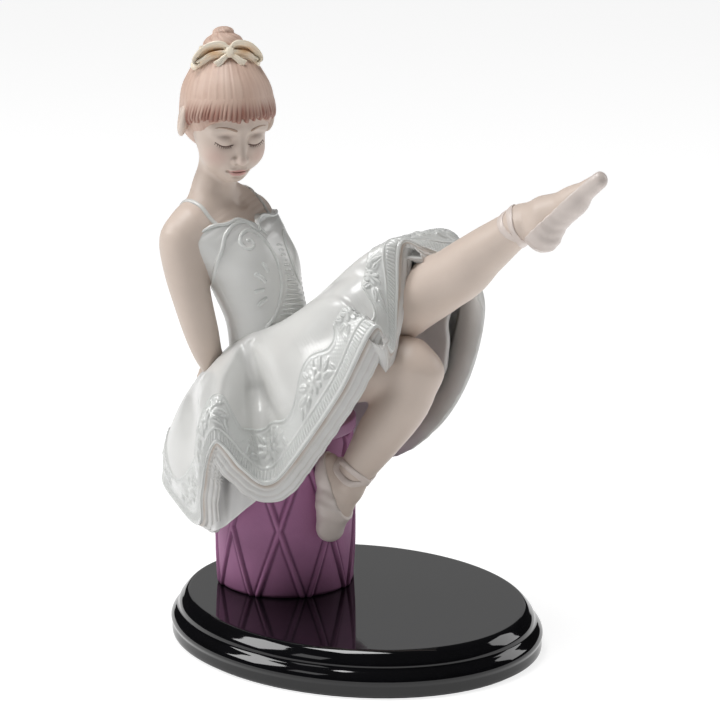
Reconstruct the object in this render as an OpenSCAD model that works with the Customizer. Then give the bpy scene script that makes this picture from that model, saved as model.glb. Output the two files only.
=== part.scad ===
// Porcelain figurine: a young dancer seated on a drum, one leg raised,
// on a glossy oval plinth. Millimetres, +Z up. The origin is the middle of
// the plinth's underside and +X runs along the plinth's long axis, the way
// the legs point.

/* [Plinth] */
// Long axis of the plinth's top face
top_long = 146; // [120:1:180]
// Short axis of the plinth over its long axis
oval_ratio = 0.843; // [0.7:0.001:1]
// How far the ogee edge swells beyond the top face
ogee_out = 7; // [4:0.5:10]
// Height of the plinth's top above the table
plinth_h = 18; // [14:0.5:24]
// Thickness of the felt pad
felt_t = 1; // [0.5:0.1:2]

/* [Drum] */
// Distance of the drum's axis from the plinth's centre
drum_back = 37; // [30:1:42]
// Outer radius of the drum
drum_r = 28; // [24:0.5:32]
// Height of the drum above the plinth
drum_h = 70; // [60:1:80]
// Wall thickness of the drum
drum_wall = 3; // [2:0.5:5]
// Thickness of the drum's floor
drum_floor = 4; // [3:0.5:6]
// Height of the hoop round the drum's head
hoop_h = 5; // [3:0.5:8]
// Width of one zigzag cord
cord_w = 1.7; // [1:0.1:3]

/* [Fixing] */
// Thread diameter of the screw
screw_d = 4; // [3:1:6]
// Screw head diameter
head_d = 8; // [6:0.5:12]
// Diameter of the counterbore under the plinth
sink_d = 13; // [10:0.5:16]
// Depth of the counterbore
sink_deep = 6; // [4:0.5:8]
// Outer diameter of the threaded insert
insert_d = 9; // [7:0.5:12]
// Length of the threaded insert
insert_l = 10; // [6:0.5:14]

/* [Dress] */
// Thickness of the skirt's shell
skirt_t = 2.4; // [1.5:0.1:4]
// Depth of the layered frill at the hem
frill_deep = 5.4; // [3:0.1:8]
// Thickness of the petticoat
petti_t = 1.8; // [1:0.1:3]
// Thickness of the bodice over the body
bodice_t = 1.1; // [0.6:0.1:2]
// Radius of a shoulder strap
strap_r = 0.9; // [0.6:0.1:1.5]

/* [Head] */
// Turn of the head about the vertical, in degrees
head_turn = -27; // [-60:1:0]
// Forward tilt of the head, in degrees
head_nod = 15; // [0:1:30]
// Sideways tilt of the head, in degrees
head_lean = 2; // [-10:1:15]

/* [View] */
// Sub-part to draw, or all

/* [Hidden] */
$fn = 64;
drum_x = -drum_back;
seat_z = plinth_h + drum_h;
half_x = top_long / 2;

skin = [0.86, 0.77, 0.70];
pearl = [0.88, 0.89, 0.88];
plum = [0.52, 0.33, 0.48];
jet = [0.03, 0.03, 0.035];
chestnut = [0.78, 0.62, 0.55];

// ---- rules shared by the smooth shells ----

function unit(v) = v / norm(v);
// Catmull-Rom blend of four neighbours
function blend(a, b, c, d, f) =
  0.5 * (2 * b + (c - a) * f + (2 * a - 5 * b + 4 * c - d) * f * f + (3 * b - a - 3 * c + d) * f * f * f);
// point at parameter t along an open list
function along(L, t) = let (n = len(L), i = min(n - 2, floor(t)), f = t - i)
  blend(L[max(0, i - 1)], L[i], L[i + 1], L[min(n - 1, i + 2)], f);
// point at parameter t round a closed list
function around(L, t) = let (n = len(L), i = floor(t) % n, f = t - floor(t))
  blend(L[(i + n - 1) % n], L[i], L[(i + 1) % n], L[(i + 2) % n], f);
function finer(L, m) = [for (k = [0 : (len(L) - 1) * m]) along(L, k / m)];
function pos(s) = [s[0], s[1], s[2]];

// ring of n points about a section [x, y, z, half width, front depth, back depth];
// front is the direction that the section's front depth points to
function ring(p, t, front, a, b, c, n) =
  let (f = unit(front - (front * t) * t), s = cross(t, f))
  [for (i = [0 : n - 1]) let (q = 360 * i / n, y = cos(q)) p + a * sin(q) * s + (y > 0 ? b : c) * y * f];

// faces between two rows of n points that start at i and j
function band(i, j, n) = [for (k = [0 : n - 1]) let (m = (k + 1) % n) each [[i + k, j + m, i + m], [i + k, j + k, j + m]]];

// solid through a list of sections, rounded at both ends
module limb(S, front = [1, 0, 0], n = 16, m = 3) {
  L = finer(S, m);
  c = len(L);
  tang = [for (k = [0 : c - 1]) unit(pos(L[min(c - 1, k + 1)]) - pos(L[max(0, k - 1)]))];
  rings = [for (k = [0 : c - 1]) ring(pos(L[k]), tang[k], front, L[k][3], L[k][4], L[k][5], n)];
  capr = [for (e = [0, 1]) let (k = e * (c - 1), q = L[k], w = min(q[3], q[4], q[5]), s = 2 * e - 1)
           ring(pos(q) + s * 0.35 * w * tang[k], tang[k], front, q[3] * 0.75, q[4] * 0.75, q[5] * 0.75, n)];
  tips = [for (e = [0, 1]) let (k = e * (c - 1), q = L[k], w = min(q[3], q[4], q[5]), s = 2 * e - 1)
           pos(q) + s * 0.55 * w * tang[k]];
  pts = concat([tips[0]], capr[0], [for (r = rings) each r], capr[1], [tips[1]]);
  rows = c + 2;
  fcs = concat(
    [for (k = [0 : n - 1]) [0, 1 + k, 1 + (k + 1) % n]],
    [for (r = [0 : rows - 2]) each band(1 + r * n, 1 + (r + 1) * n, n)],
    [for (k = [0 : n - 1]) [1 + rows * n, 1 + (rows - 1) * n + (k + 1) % n, 1 + (rows - 1) * n + k]]);
  polyhedron(points = pts, faces = fcs, convexity = 6);
}

// round bar of radius r along the points P
module bar(P, r, n = 8, m = 3, front = [0.3, 0.2, 1]) {
  limb([for (p = P) [p[0], p[1], p[2], r, r, r]], front, n, m);
}

// closed-up shell between an outer and an inner grid of rows[v][u]
module shell(A, B) {
  nv = len(A);
  n = len(A[0]);
  pts = concat([for (r = A) each r], [for (r = B) each r]);
  o = nv * n;
  fcs = concat(
    [for (v = [0 : nv - 2]) each band(v * n, (v + 1) * n, n)],
    [for (v = [0 : nv - 2]) each [for (t = band(o + v * n, o + (v + 1) * n, n)) [t[0], t[2], t[1]]]],
    [for (t = band(0, o, n)) [t[0], t[2], t[1]]],
    band((nv - 1) * n, o + (nv - 1) * n, n));
  polyhedron(points = pts, faces = fcs, convexity = 10);
}

// ---- the skirt's sheet ----
// each meridian: angle at the waist, then a point a third of the way down,
// one two thirds down and one on the hem
cloth = [
  [  0, [2, -6, 157], [16, -3, 167], [22, 1, 168]],
  [ 14, [0, 5, 159], [17, 10, 168], [26, 11, 165]],
  [ 30, [1, 18, 159], [19, 25, 168], [28, 23, 160]],
  [ 50, [-2, 32, 155], [19, 39, 163], [28, 37, 154]],
  [ 72, [-22, 32, 137], [8, 44, 142], [34, 40, 136]],
  [ 95, [-34, 38, 124], [-8, 52, 112], [24, 42, 103]],
  [118, [-46, 38, 115], [-30, 54, 92], [6, 38, 77]],
  [142, [-60, 34, 108], [-52, 52, 84], [-36, 50, 62]],
  [166, [-69, 22, 104], [-73, 38, 80], [-66, 44, 58]],
  [190, [-74, 6, 102], [-85, 16, 80], [-86, 20, 60]],
  [212, [-73, -9, 101], [-86, -9, 82], [-89, -8, 62]],
  [232, [-67, -22, 101], [-75, -27, 81], [-78, -29, 60]],
  [246, [-57, -32, 104], [-64, -41, 79], [-62, -39, 55]],
  [256, [-48, -39, 108], [-49, -49, 77], [-44, -46, 51]],
  [264, [-40, -42, 112], [-35, -56, 92], [-33, -56, 70]],
  [273, [-32, -43, 115], [-24, -59, 105], [-22, -61, 93]],
  [284, [-30, -34, 111], [-21, -46, 97], [-17, -51, 81]],
  [294, [-27, -28, 109], [-17, -38, 91], [-10, -43, 74]],
  [304, [-19, -28, 117], [-6, -37, 103], [3, -40, 88]],
  [316, [-7, -25, 133], [7, -30, 124], [17, -32, 113]],
  [328, [1, -21, 145], [17, -23, 143], [27, -22, 140]],
  [338, [3, -17, 149], [21, -17, 141], [28, -12, 128]],
  [349, [2, -11, 153], [18, -10, 154], [25, -5, 147]]];
waist_c = [-43.5, -2.5, 122.5];
function waist(a) = waist_c + [15 * cos(a), 19 * sin(a), 8.7 * cos(a)];
nu = 92;
// one meridian at parameter u, as four points
function merid(u) = let (q = [for (j = [0 : 3]) around([for (c = cloth) j == 0 ? waist(c[0]) : c[j]], u)]) q;
MER = [for (k = [0 : nu - 1]) merid(k * len(cloth) / nu)];
// the sheet's rows between v0 and v1, where 0 is the waist and 3 the hem
function sheet(v0, v1, m) = [for (j = [0 : m]) [for (q = MER) along(q, v0 + (v1 - v0) * j / m)]];
// outward normals of a grid of rows
function normals(G) = let (nv = len(G), n = len(G[0]))
  [for (v = [0 : nv - 1]) [for (k = [0 : n - 1])
    unit(cross(G[min(nv - 1, v + 1)][k] - G[max(0, v - 1)][k], G[v][(k + 1) % n] - G[v][(k + n - 1) % n]))]];
function moved(G, N, d) = [for (v = [0 : len(G) - 1]) [for (k = [0 : len(G[0]) - 1]) G[v][k] - d * N[v][k]]];
// rows averaged along their length m times, so that an inner surface does not fold over
function eased(G, m) = m == 0 ? G :
  eased([for (r = G) let (n = len(r)) [for (k = [0 : n - 1]) (r[(k + n - 1) % n] + 2 * r[k] + r[(k + 1) % n]) / 4]], m - 1);
module skirt() color(pearl) {
  G = sheet(0, 3, 9);
  N = normals(G);
  shell(G, eased(moved(G, N, skirt_t), 1));
}

// raised lace band round the lower part of the skirt
module skirt_lace() color([0.93, 0.94, 0.94]) {
  G = sheet(1.75, 2.96, 3);
  N = normals(G);
  shell(moved(G, N, -0.55), moved(G, N, 0.02));
}

// layered frill under the hem
module skirt_frill() color([0.80, 0.79, 0.77]) {
  G = sheet(2.72, 3, 2);
  N = normals(G);
  shell(eased(moved(G, N, skirt_t + 0.05), 1), eased(moved(G, N, frill_deep), 6));
}

// petticoat: hangs inside the skirt, with its own lower edge
under = [
  [  0, [0, -2, 149], [12, 2, 156], [17, 4, 157]],
  [ 30, [-1, 15, 150], [13, 20, 156], [20, 20, 150]],
  [ 60, [-10, 26, 142], [10, 34, 144], [22, 33, 138]],
  [ 95, [-34, 31, 119], [-12, 43, 107], [14, 36, 100]],
  [130, [-52, 30, 108], [-42, 43, 88], [-26, 42, 74]],
  [166, [-64, 17, 101], [-66, 30, 80], [-60, 36, 68]],
  [200, [-68, 0, 99], [-77, 2, 80], [-78, 2, 68]],
  [232, [-61, -19, 98], [-67, -24, 79], [-67, -25, 66]],
  [252, [-50, -30, 100], [-49, -38, 78], [-46, -39, 56]],
  [268, [-38, -33, 104], [-36, -43, 80], [-33, -45, 57]],
  [288, [-26, -26, 104], [-21, -36, 88], [-15, -39, 71]],
  [308, [-14, -23, 114], [-3, -30, 102], [5, -33, 92]],
  [328, [0, -15, 132], [12, -17, 124], [18, -17, 117]],
  [344, [3, -10, 146], [14, -9, 139], [20, -6, 133]]];
function under_w(a) = waist_c + [11.6 * cos(a), 15.6 * sin(a), 6.7 * cos(a) - 5];
module petticoat() color([0.80, 0.80, 0.81]) {
  M = [for (k = [0 : 55]) let (u = k * len(under) / 56)
        [for (j = [0 : 3]) around([for (c = under) j == 0 ? under_w(c[0]) : c[j]], u)]];
  G = [for (j = [0 : 6]) [for (q = M) along(q, j / 2)]];
  N = normals(G);
  resize([0, 0, 0]) difference() {
    shell(G, moved(G, N, petti_t));
    translate([drum_x, 0, plinth_h]) cylinder(r = drum_r + 0.1, h = drum_h + 0.1);
  }
}

// ---- plinth and fixing ----

// oval through the top face's edge, pushed out by d along its normal
half_y = half_x * oval_ratio;
oval_n = 80;
function oval_pt(i, d) = let (q = 360 * i / oval_n, c = cos(q), w = sin(q), m = norm([half_y * c, half_x * w]))
  [half_x * c + d * half_y * c / m, half_y * w + d * half_x * w / m];
function oval(d) = [for (i = [0 : oval_n - 1]) oval_pt(i, d)];
ogee = [[ogee_out - 0.4, felt_t], [ogee_out - 0.6, 5.6], [ogee_out, 6.4], [ogee_out - 0.1, 8.0], [ogee_out - 1, 9.8],
        [ogee_out - 2.2, 11.0], [ogee_out - 3.3, 12.6], [ogee_out - 3.7, 14.6], [2.4, 16.6], [0, plinth_h]];

module base_plinth() color(jet) difference() {
  polyhedron(points = [for (h = ogee) each [for (q = oval(h[0])) [q[0], q[1], h[1]]]],
    faces = concat([[for (k = [0 : oval_n - 1]) k]],
      [for (v = [0 : len(ogee) - 2]) each band(v * oval_n, (v + 1) * oval_n, oval_n)],
      [[for (k = [0 : oval_n - 1]) len(ogee) * oval_n - 1 - k]]), convexity = 4);
  translate([drum_x, 0, 0]) cylinder(d = sink_d, h = sink_deep);
  translate([drum_x, 0, 0]) cylinder(d = screw_d + 0.5, h = plinth_h + 1);
}

module base_felt() color([0.06, 0.06, 0.065]) difference() {
  linear_extrude(felt_t) polygon(oval(ogee_out - 2.5));
  translate([drum_x, 0, -1]) cylinder(d = sink_d, h = felt_t + 2);
}

module fixing_washer() color([0.7, 0.7, 0.72]) translate([drum_x, 0, sink_deep - 1]) difference() {
  cylinder(d = sink_d - 2, h = 1);
  translate([0, 0, -1]) cylinder(d = screw_d + 0.3, h = 3);
}

module fixing_screw() color([0.72, 0.72, 0.74]) translate([drum_x, 0, 0]) difference() {
  union() {
    translate([0, 0, sink_deep - 4]) cylinder(d = head_d, h = 3);
    translate([0, 0, sink_deep - 1]) cylinder(d = screw_d, h = plinth_h + drum_floor + 3 - sink_deep);
  }
  translate([0, 0, sink_deep - 5]) for (q = [0, 90]) rotate(q) translate([-2.2, -0.5, 0]) cube([4.4, 1, 2.6]);
}

module threaded_insert() color([0.8, 0.66, 0.36]) translate([drum_x, 0, plinth_h]) difference() {
  union() {
    cylinder(d = insert_d - 1, h = insert_l);
    translate([0, 0, drum_floor + 0.02]) cylinder(d = insert_d + 3, h = 1.4);
  }
  translate([0, 0, -1]) cylinder(d = screw_d, h = insert_l + 2);
}

// ---- drum ----

module drum_shell() color(plum) translate([drum_x, 0, plinth_h]) difference() {
  rotate_extrude() polygon([[0, 0], [drum_r - 2.2, 0], [drum_r - 0.9, 0.5], [drum_r - 0.2, 1.6], [drum_r, 3],
    [drum_r, drum_h - hoop_h], [drum_r - drum_wall, drum_h - hoop_h], [drum_r - drum_wall, drum_floor], [0, drum_floor]]);
  translate([0, 0, -1]) cylinder(d = insert_d - 1, h = drum_floor + 2);
}

module drum_head() color([0.60, 0.42, 0.56]) translate([drum_x, 0, seat_z - hoop_h]) union() {
  cylinder(r = drum_r - 1, h = hoop_h);
}

module drum_hoop() color([0.66, 0.46, 0.62]) translate([drum_x, 0, seat_z - hoop_h]) rotate_extrude()
  polygon([[drum_r - 0.98, 0], [drum_r + 0.4, 0], [drum_r + 0.8, 0.8], [drum_r + 0.8, hoop_h - 1.4],
           [drum_r + 0.2, hoop_h - 0.4], [drum_r - 0.98, hoop_h]]);

// zigzag cords in relief, sixteen half turns that meet at the foot
module drum_cords() color([0.46, 0.28, 0.43]) translate([drum_x, 0, plinth_h])
  for (k = [0 : 7], s = [-1, 1])
    bar([for (j = [0 : 6]) let (q = 45 * k - 33 + s * (41.5 * j / 6 + 4.2), r = drum_r + 0.1)
          [r * cos(q), r * sin(q), 2.6 + (drum_h - hoop_h - 3.6) * j / 6]], cord_w / 2, 5, 1, [0, 0, 1]);

// ---- body ----
// sections: x, y, z, half width, front depth, back depth

body = [
  [-38, 0, 93, 15, 14, 14], [-39, 0, 101, 20, 16, 16], [-42, -2, 116, 18, 15, 14], [-44, -3.5, 131, 17, 14, 13.5],
  [-48, -5.5, 145, 18.5, 15.5, 14], [-52, -8, 157, 20, 15, 14], [-57, -11, 167, 21, 11.5, 12.5],
  [-60.5, -13, 174, 16, 8.5, 10], [-62, -14, 179, 8.8, 7.8, 8.2], [-61.5, -14, 186, 7.3, 7, 7.2],
  [-60, -13, 198, 7, 6.8, 7]];
upper_r = [[-61, -29, 169, 7.6, 7.6, 7.6], [-63, -34, 164, 8, 8, 8], [-61, -34, 152, 8, 8, 8], [-58, -32, 138, 7.6, 7.6, 7.6],
           [-56, -29.5, 126, 7, 7, 7], [-55.5, -26.5, 117, 6, 5.8, 5.8], [-56, -23, 109, 4.8, 4.6, 4.6]];
upper_l = [[-59, 5, 167, 7.6, 7.6, 7.6], [-62, 11, 161, 8, 8, 8], [-63, 15, 149, 7.5, 7.5, 7.5], [-63, 19, 137, 6.9, 7, 7],
           [-62, 21, 127, 6.3, 6.4, 6.4], [-61, 21, 120, 5.2, 5.2, 5.2], [-61, 20, 115, 4.4, 4, 4]];
thigh_l = [[-34, 11, 104, 13, 13, 13], [-8, 11, 122, 13, 13, 13], [20, 11, 142, 11.5, 11.5, 12], [34, 11, 152, 11.5, 11, 12],
           [47, 11, 162, 10.4, 10, 11], [58, 11, 170.5, 9.2, 8.8, 9.4], [66, 11, 176.5, 7.8, 7.8, 8], [73, 11, 181.5, 7, 7, 7.2]];
thigh_r = [[-34, -11, 104, 13, 13, 13], [-4, -4, 112, 13, 13, 13], [23, 3, 120, 11.5, 11.5, 11], [30, 4, 115, 11, 10.5, 11],
           [24, 1, 102, 10.8, 10, 12], [16, -3, 89, 9.5, 8.6, 12.5], [8, -6, 77, 7.6, 7, 8], [2, -8, 68, 6.6, 6.4, 6.6]];

module body_core() limb(body, [1, 0, 0.2], 22, 2);

module torso() color(skin) resize([0, 0, 0]) difference() {
  body_core();
  translate([drum_x, 0, plinth_h]) cylinder(r = drum_r - 1, h = drum_h + 0.02);
}

module arm(S) color(skin) resize([0, 0, 0]) difference() {
  limb(S, [1, 0, 0], 14, 2);
  body_core();
}
module arm_right() arm(upper_r);
module arm_left() arm(upper_l);

// a hand pressed on the skirt beside the hip: palm, thumb and four fingers,
// drawn flat with the fingers along +X, then sloped by a and turned by q
module hand(p, q, a, s) color(skin) resize([0, 0, 0]) difference() {
  translate(p) rotate([0, a, q]) {
    limb([[-3, 0, 3.2, 4.2, 3.4, 3.4], [1, 0, 2.2, 4.8, 2.8, 2.6], [5, 0, 1.6, 5, 2, 1.8]], [0, 0, 1], 10, 1);
    for (k = [0 : 3]) bar([[5, 3.6 - 2.4 * k, 1.6], [9, 4.4 - 2.9 * k, 1.6], [12.6 - abs(k - 1.5), 4.8 - 3.2 * k, 0.6]], 1.3, 5, 1);
    bar([[0, s * 3.4, 2.2], [3.4, s * 6.4, 1.8], [6.4, s * 7.8, 0.8]], 1.4, 5, 1);
  }
}
module hand_right() hand([-58, -19, 106], 125, 40, 1);
module hand_left() hand([-61.5, 19, 111], 160, 44, -1);

module leg_left() color(skin) resize([0, 0, 0]) difference() {
  limb(thigh_l, [-0.58, 0, 0.81], 16, 3);
  body_core();
  translate([drum_x, 0, plinth_h]) cylinder(r = drum_r + 1, h = drum_h + 0.02);
}

module leg_right() color(skin) resize([0, 0, 0]) difference() {
  limb(thigh_r, [0.8, 0, 0.6], 16, 3);
  body_core();
  limb(thigh_l, [-0.58, 0, 0.81], 16, 3);
  translate([drum_x, 0, plinth_h]) cylinder(r = drum_r + 1, h = drum_h + 0.02);
}

foot_l = [[72, 11, 181, 7.4, 7.2, 7.6], [77, 11, 183.5, 7.8, 7, 12], [84, 11, 186.5, 8.4, 6.6, 11.6], [91, 11, 191, 8, 6, 8.6],
          [98, 11, 196.5, 7.2, 5, 6.4], [105, 11, 202.5, 6, 4, 4.6], [110.5, 11, 206.5, 4.2, 3.2, 3.2]];
foot_r = [[1.5, -9.5, 76, 5.4, 5, 5.6], [1, -9.5, 70, 6.6, 6.4, 6.6], [-0.5, -9.5, 63, 7.4, 6.8, 7.2], [-2.4, -9.5, 55, 7.2, 6.2, 6],
          [-4.4, -9.4, 48, 6.2, 5, 4.6], [-5, -9.4, 43.5, 4.8, 4, 3.4]];

module slipper_left() color([0.90, 0.85, 0.82]) resize([0, 0, 0]) difference() {
  limb(foot_l, [-0.58, 0, 0.81], 16, 2);
  limb(thigh_l, [-0.58, 0, 0.81], 16, 3);
}
module slipper_right() color([0.90, 0.85, 0.82]) resize([0, 0, 0]) difference() {
  limb(foot_r, [0.95, 0, 0.2], 16, 2);
  limb(thigh_r, [0.8, 0, 0.6], 16, 3);
  translate([drum_x, 0, plinth_h]) cylinder(r = drum_r + 1, h = drum_h + 0.02);
}

// flat ribbon wound round an ankle p along t: a closed tilted band
module wound(p, t, front, a, b, c, tilt) {
  f = unit(front - (front * t) * t);
  s = cross(t, f);
  n = 20;
  loop = [for (j = [0 : n - 1]) let (q = 360 * j / n) [sin(q) * s + cos(q) * f, p + a * sin(q) * s + (cos(q) > 0 ? b : c) * cos(q) * f + tilt * sin(q) * t]];
  rows = [for (w = [[-0.6, -0.9], [0.5, -0.9], [0.5, 0.9], [-0.6, 0.9]]) [for (e = loop) e[1] + w[0] * e[0] + w[1] * t]];
  polyhedron(points = [for (r = rows) each r], faces = [for (v = [0 : 3]) each band(v * n, ((v + 1) % 4) * n, n)], convexity = 4);
}
module ankle_ribbon_left() color([0.93, 0.88, 0.85]) resize([0, 0, 0]) union()
  for (e = [-3, 3]) wound([71, 11, 180], unit([8, 0, 5.6]), [-0.58, 0, 0.81], 7.6, 7.5, 7.7, e);
module ankle_ribbon_right() color([0.93, 0.88, 0.85]) resize([0, 0, 0]) union()
  for (e = [-3, 3]) wound([4.4, -7.2, 71], unit([-6, -2, -9]), [0.8, 0, 0.6], 7.3, 7.2, 7.5, e);

// ---- head ----
// drawn upright facing +X with the chin near z = -23, then turned and tilted

skull = [[3, 0, -20, 6.5, 8.5, 9], [1.5, 0, -17, 10, 13.5, 13], [0.5, 0, -12, 13.4, 16.4, 16], [0, 0, -4, 15.8, 17.8, 19], [-0.5, 0, 4, 17, 18.4, 20],
         [-1, 0, 11, 16.4, 17.6, 19], [-1.5, 0, 17, 13.4, 14.6, 16], [-2, 0, 21, 7.5, 9, 10]];
cap = [[-2, 0, -16, 6, 4, 14], [-2, 0, -13, 12, 6, 17.5], [-1.5, 0, -8, 15.2, 6, 19.5], [-1.2, 0, -2, 17.2, 8, 21], [-1, 0, 5, 18.4, 20, 21.8],
       [-1.4, 0, 12, 17.8, 19, 20.6], [-1.8, 0, 18, 14.6, 16, 17.2], [-2.2, 0, 22.4, 8, 9.6, 10.6]];
module place_head() translate([-56.5, -11.5, 211.5]) rotate([0, 0, head_turn]) rotate([-head_lean, head_nod, 0]) children();

module head_core() union() {
  limb(skull, [1, 0, 0], 18, 2);
  for (s = [-1, 1]) translate([-2, s * 16.4, -3]) rotate([s * 12, 8, s * 14]) scale([0.62, 0.32, 1]) sphere(r = 6.2, $fn = 10);
  limb([[17, 0, 0, 1.4, 1, 2], [18.6, 0, -4, 1.8, 1.6, 2], [18.4, 0, -7, 2.2, 1.8, 2], [16.4, 0, -8.6, 1.8, 1, 2]], [1, 0, 0], 8, 2);
}
module head() color(skin) resize([0, 0, 0]) difference() {
  place_head() head_core();
  body_core();
}

module hair_cap() color(chestnut) resize([0, 0, 0]) difference() {
  place_head() limb(cap, [1, 0, 0], 18, 2);
  place_head() head_core();
  body_core();
  place_head() translate([4, -30, -30]) cube([30, 60, 32.5]);
}

// fringe: a curved sheet of locks with a toothed lower edge over the forehead
module hair_fringe() color([0.66, 0.49, 0.43]) place_head() {
  A = [for (v = [0 : 4]) [for (k = [0 : 24]) let (q = -72 + 6 * k, f = abs(q) / 72, d = v / 4, z = 15.5 - d * (10.5 + 6 * f * f + (k % 2)),
        r = 17.4 + 1.7 * sin(25 + 130 * d)) [(r + 1.2 + 0.3 * (k % 2)) * cos(q) - 1, (r + 0.3 * (k % 2)) * sin(q), z]]];
  B = [for (v = [0 : 4]) [for (k = [0 : 24]) let (q = -72 + 6 * k) A[v][k] - 1.5 * [cos(q), sin(q), 0]]];
  // each row is outer then inner, so that every row closes on itself
  rows = [for (v = [0 : 4]) concat(A[v], [for (k = [24 : -1 : 0]) B[v][k]])];
  n = 50;
  polyhedron(points = [for (r = rows) each r], faces = concat(
    [for (v = [0 : 3]) each band((v + 1) * n, v * n, n)],
    [for (k = [0 : 23]) each [[k + 1, k, n - 2 - k], [n - 2 - k, k, n - 1 - k]]],
    [for (k = [0 : 23]) let (o = 4 * n) each [[o + k, o + k + 1, o + n - 2 - k], [o + k, o + n - 2 - k, o + n - 1 - k]]]), convexity = 4);
}

// the bun sits behind the crown and leans back
bun_back = 25;
module place_bun() translate([-10, 0, 21.5]) rotate([0, -bun_back, 0]) children();

module bun_core() limb([[0, 0, -3, 9, 9, 9], [0, 0, 1.5, 9.4, 9.4, 9.4], [0, 0, 5, 8.6, 8.6, 8.6], [0, 0, 7.4, 6.4, 6.4, 6.4], [0, 0, 9, 3.8, 3.8, 3.8], [0, 0, 10.6, 2.4, 2.4, 2.4]], [1, 0, 0], 14, 2);
module hair_bun() color(chestnut) resize([0, 0, 0]) difference() {
  place_head() place_bun() union() {
    bun_core();
  }
  place_head() limb(cap, [1, 0, 0], 18, 2);
  place_head() head_core();
}

// ribbon bow in front of the bun: two loops, two tails, a knot and the band
module bow() color([0.93, 0.86, 0.68]) resize([0, 0, 0]) place_head() place_bun() union() {
  rotate_extrude($fn = 20) translate([9.7, 0]) circle(r = 1.3, $fn = 6);
  for (s = [-1, 1]) {
    bar([[10.6, s * 0.6, 1.9], [11.2, s * 5, 4.2], [9.4, s * 11, 3.8], [7.9, s * 14.6, 0.3], [9.2, s * 11, -3.2], [11.2, s * 5, -2.7], [10.6, s * 0.6, -1.8]], 1.25, 6, 1, [0.3, 0, 1]);
    bar([[11.6, s * 0.8, -2.4], [12.4, s * 3.4, -4.6], [12.3, s * 6.6, -6.6]], 1.1, 6, 1, [1, 0, 0]);
  }
  translate([11.2, 0, 0]) scale([0.9, 1.1, 1.35]) sphere(r = 2.6, $fn = 10);
}

// ---- dress top ----

fat = [for (s = body) [s[0], s[1], s[2], s[3] + bodice_t, s[4] + bodice_t, s[5] + bodice_t]];
module bodice() color(pearl) resize([0, 0, 0]) difference() {
  intersection() {
    limb([for (k = [2 : 6]) fat[k]], [1, 0, 0.2], 22, 2);
    // sloping neckline, higher in front than behind
    translate([-56, -8, 112]) rotate([0, -20, 0]) translate([-50, -40, -20]) cube([100, 80, 69]);
  }
  body_core();
  for (S = [upper_r, upper_l]) limb(S, [1, 0, 0], 14, 2);
}

// generic scroll in relief on the front of the bodice
function front_pt(a, z) = let (k = (z - 116) / 14.5, s = along([for (i = [2 : 6]) fat[i]], max(0, min(3.99, k))))
  [s[0] + s[4] * cos(a), s[1] + s[3] * sin(a), s[2]];
module bodice_scroll() color([0.93, 0.94, 0.94]) resize([0, 0, 0]) difference() {
  union() for (s = [-1, 1]) {
    bar([for (j = [0 : 6]) let (t = j / 6) front_pt(s * (4 + 42 * sin(150 * t)), 122 + 38 * t)], 1.1, 5, 1, [1, 0, 0]);
    bar([for (j = [0 : 8]) let (q = 45 * j, r = 8 - 0.8 * j) front_pt(s * (22 + r * cos(q)), 152 + 0.6 * r * sin(q))], 0.9, 5, 1, [1, 0, 0]);
  }
  body_core();
}

// point on the dress's skin at angle a from the front, between sections
function on_body(a, k) = let (s = along(fat, k), t = unit(pos(along(fat, k + 0.1)) - pos(along(fat, k - 0.1))))
  ring(pos(s), t, [1, 0, 0.2], s[3], s[4], s[5], 4)[0] * 0 + pos(s)
  + s[3] * sin(a) * cross(t, unit([1, 0, 0.2] - ([1, 0, 0.2] * t) * t)) + (cos(a) > 0 ? s[4] : s[5]) * cos(a) * unit([1, 0, 0.2] - ([1, 0, 0.2] * t) * t);
module strap(s) color(pearl)
  bar([for (j = [0 : 8]) on_body(s * (46 + 11 * j), 5.2 + 1.5 * sin(22.5 * j))], strap_r, 8, 2, [0, 1, 0.2]);
module strap_right() strap(1);
module strap_left() strap(-1);

base_plinth();
base_felt();
fixing_screw();
fixing_washer();
threaded_insert();
drum_shell();
drum_head();
drum_hoop();
drum_cords();
torso();
arm_right();
arm_left();
hand_right();
hand_left();
leg_left();
leg_right();
slipper_left();
slipper_right();
ankle_ribbon_left();
ankle_ribbon_right();
head();
hair_cap();
hair_fringe();
hair_bun();
bow();
bodice();
bodice_scroll();
strap_right();
strap_left();
skirt();
skirt_lace();
skirt_frill();
petticoat();
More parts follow.
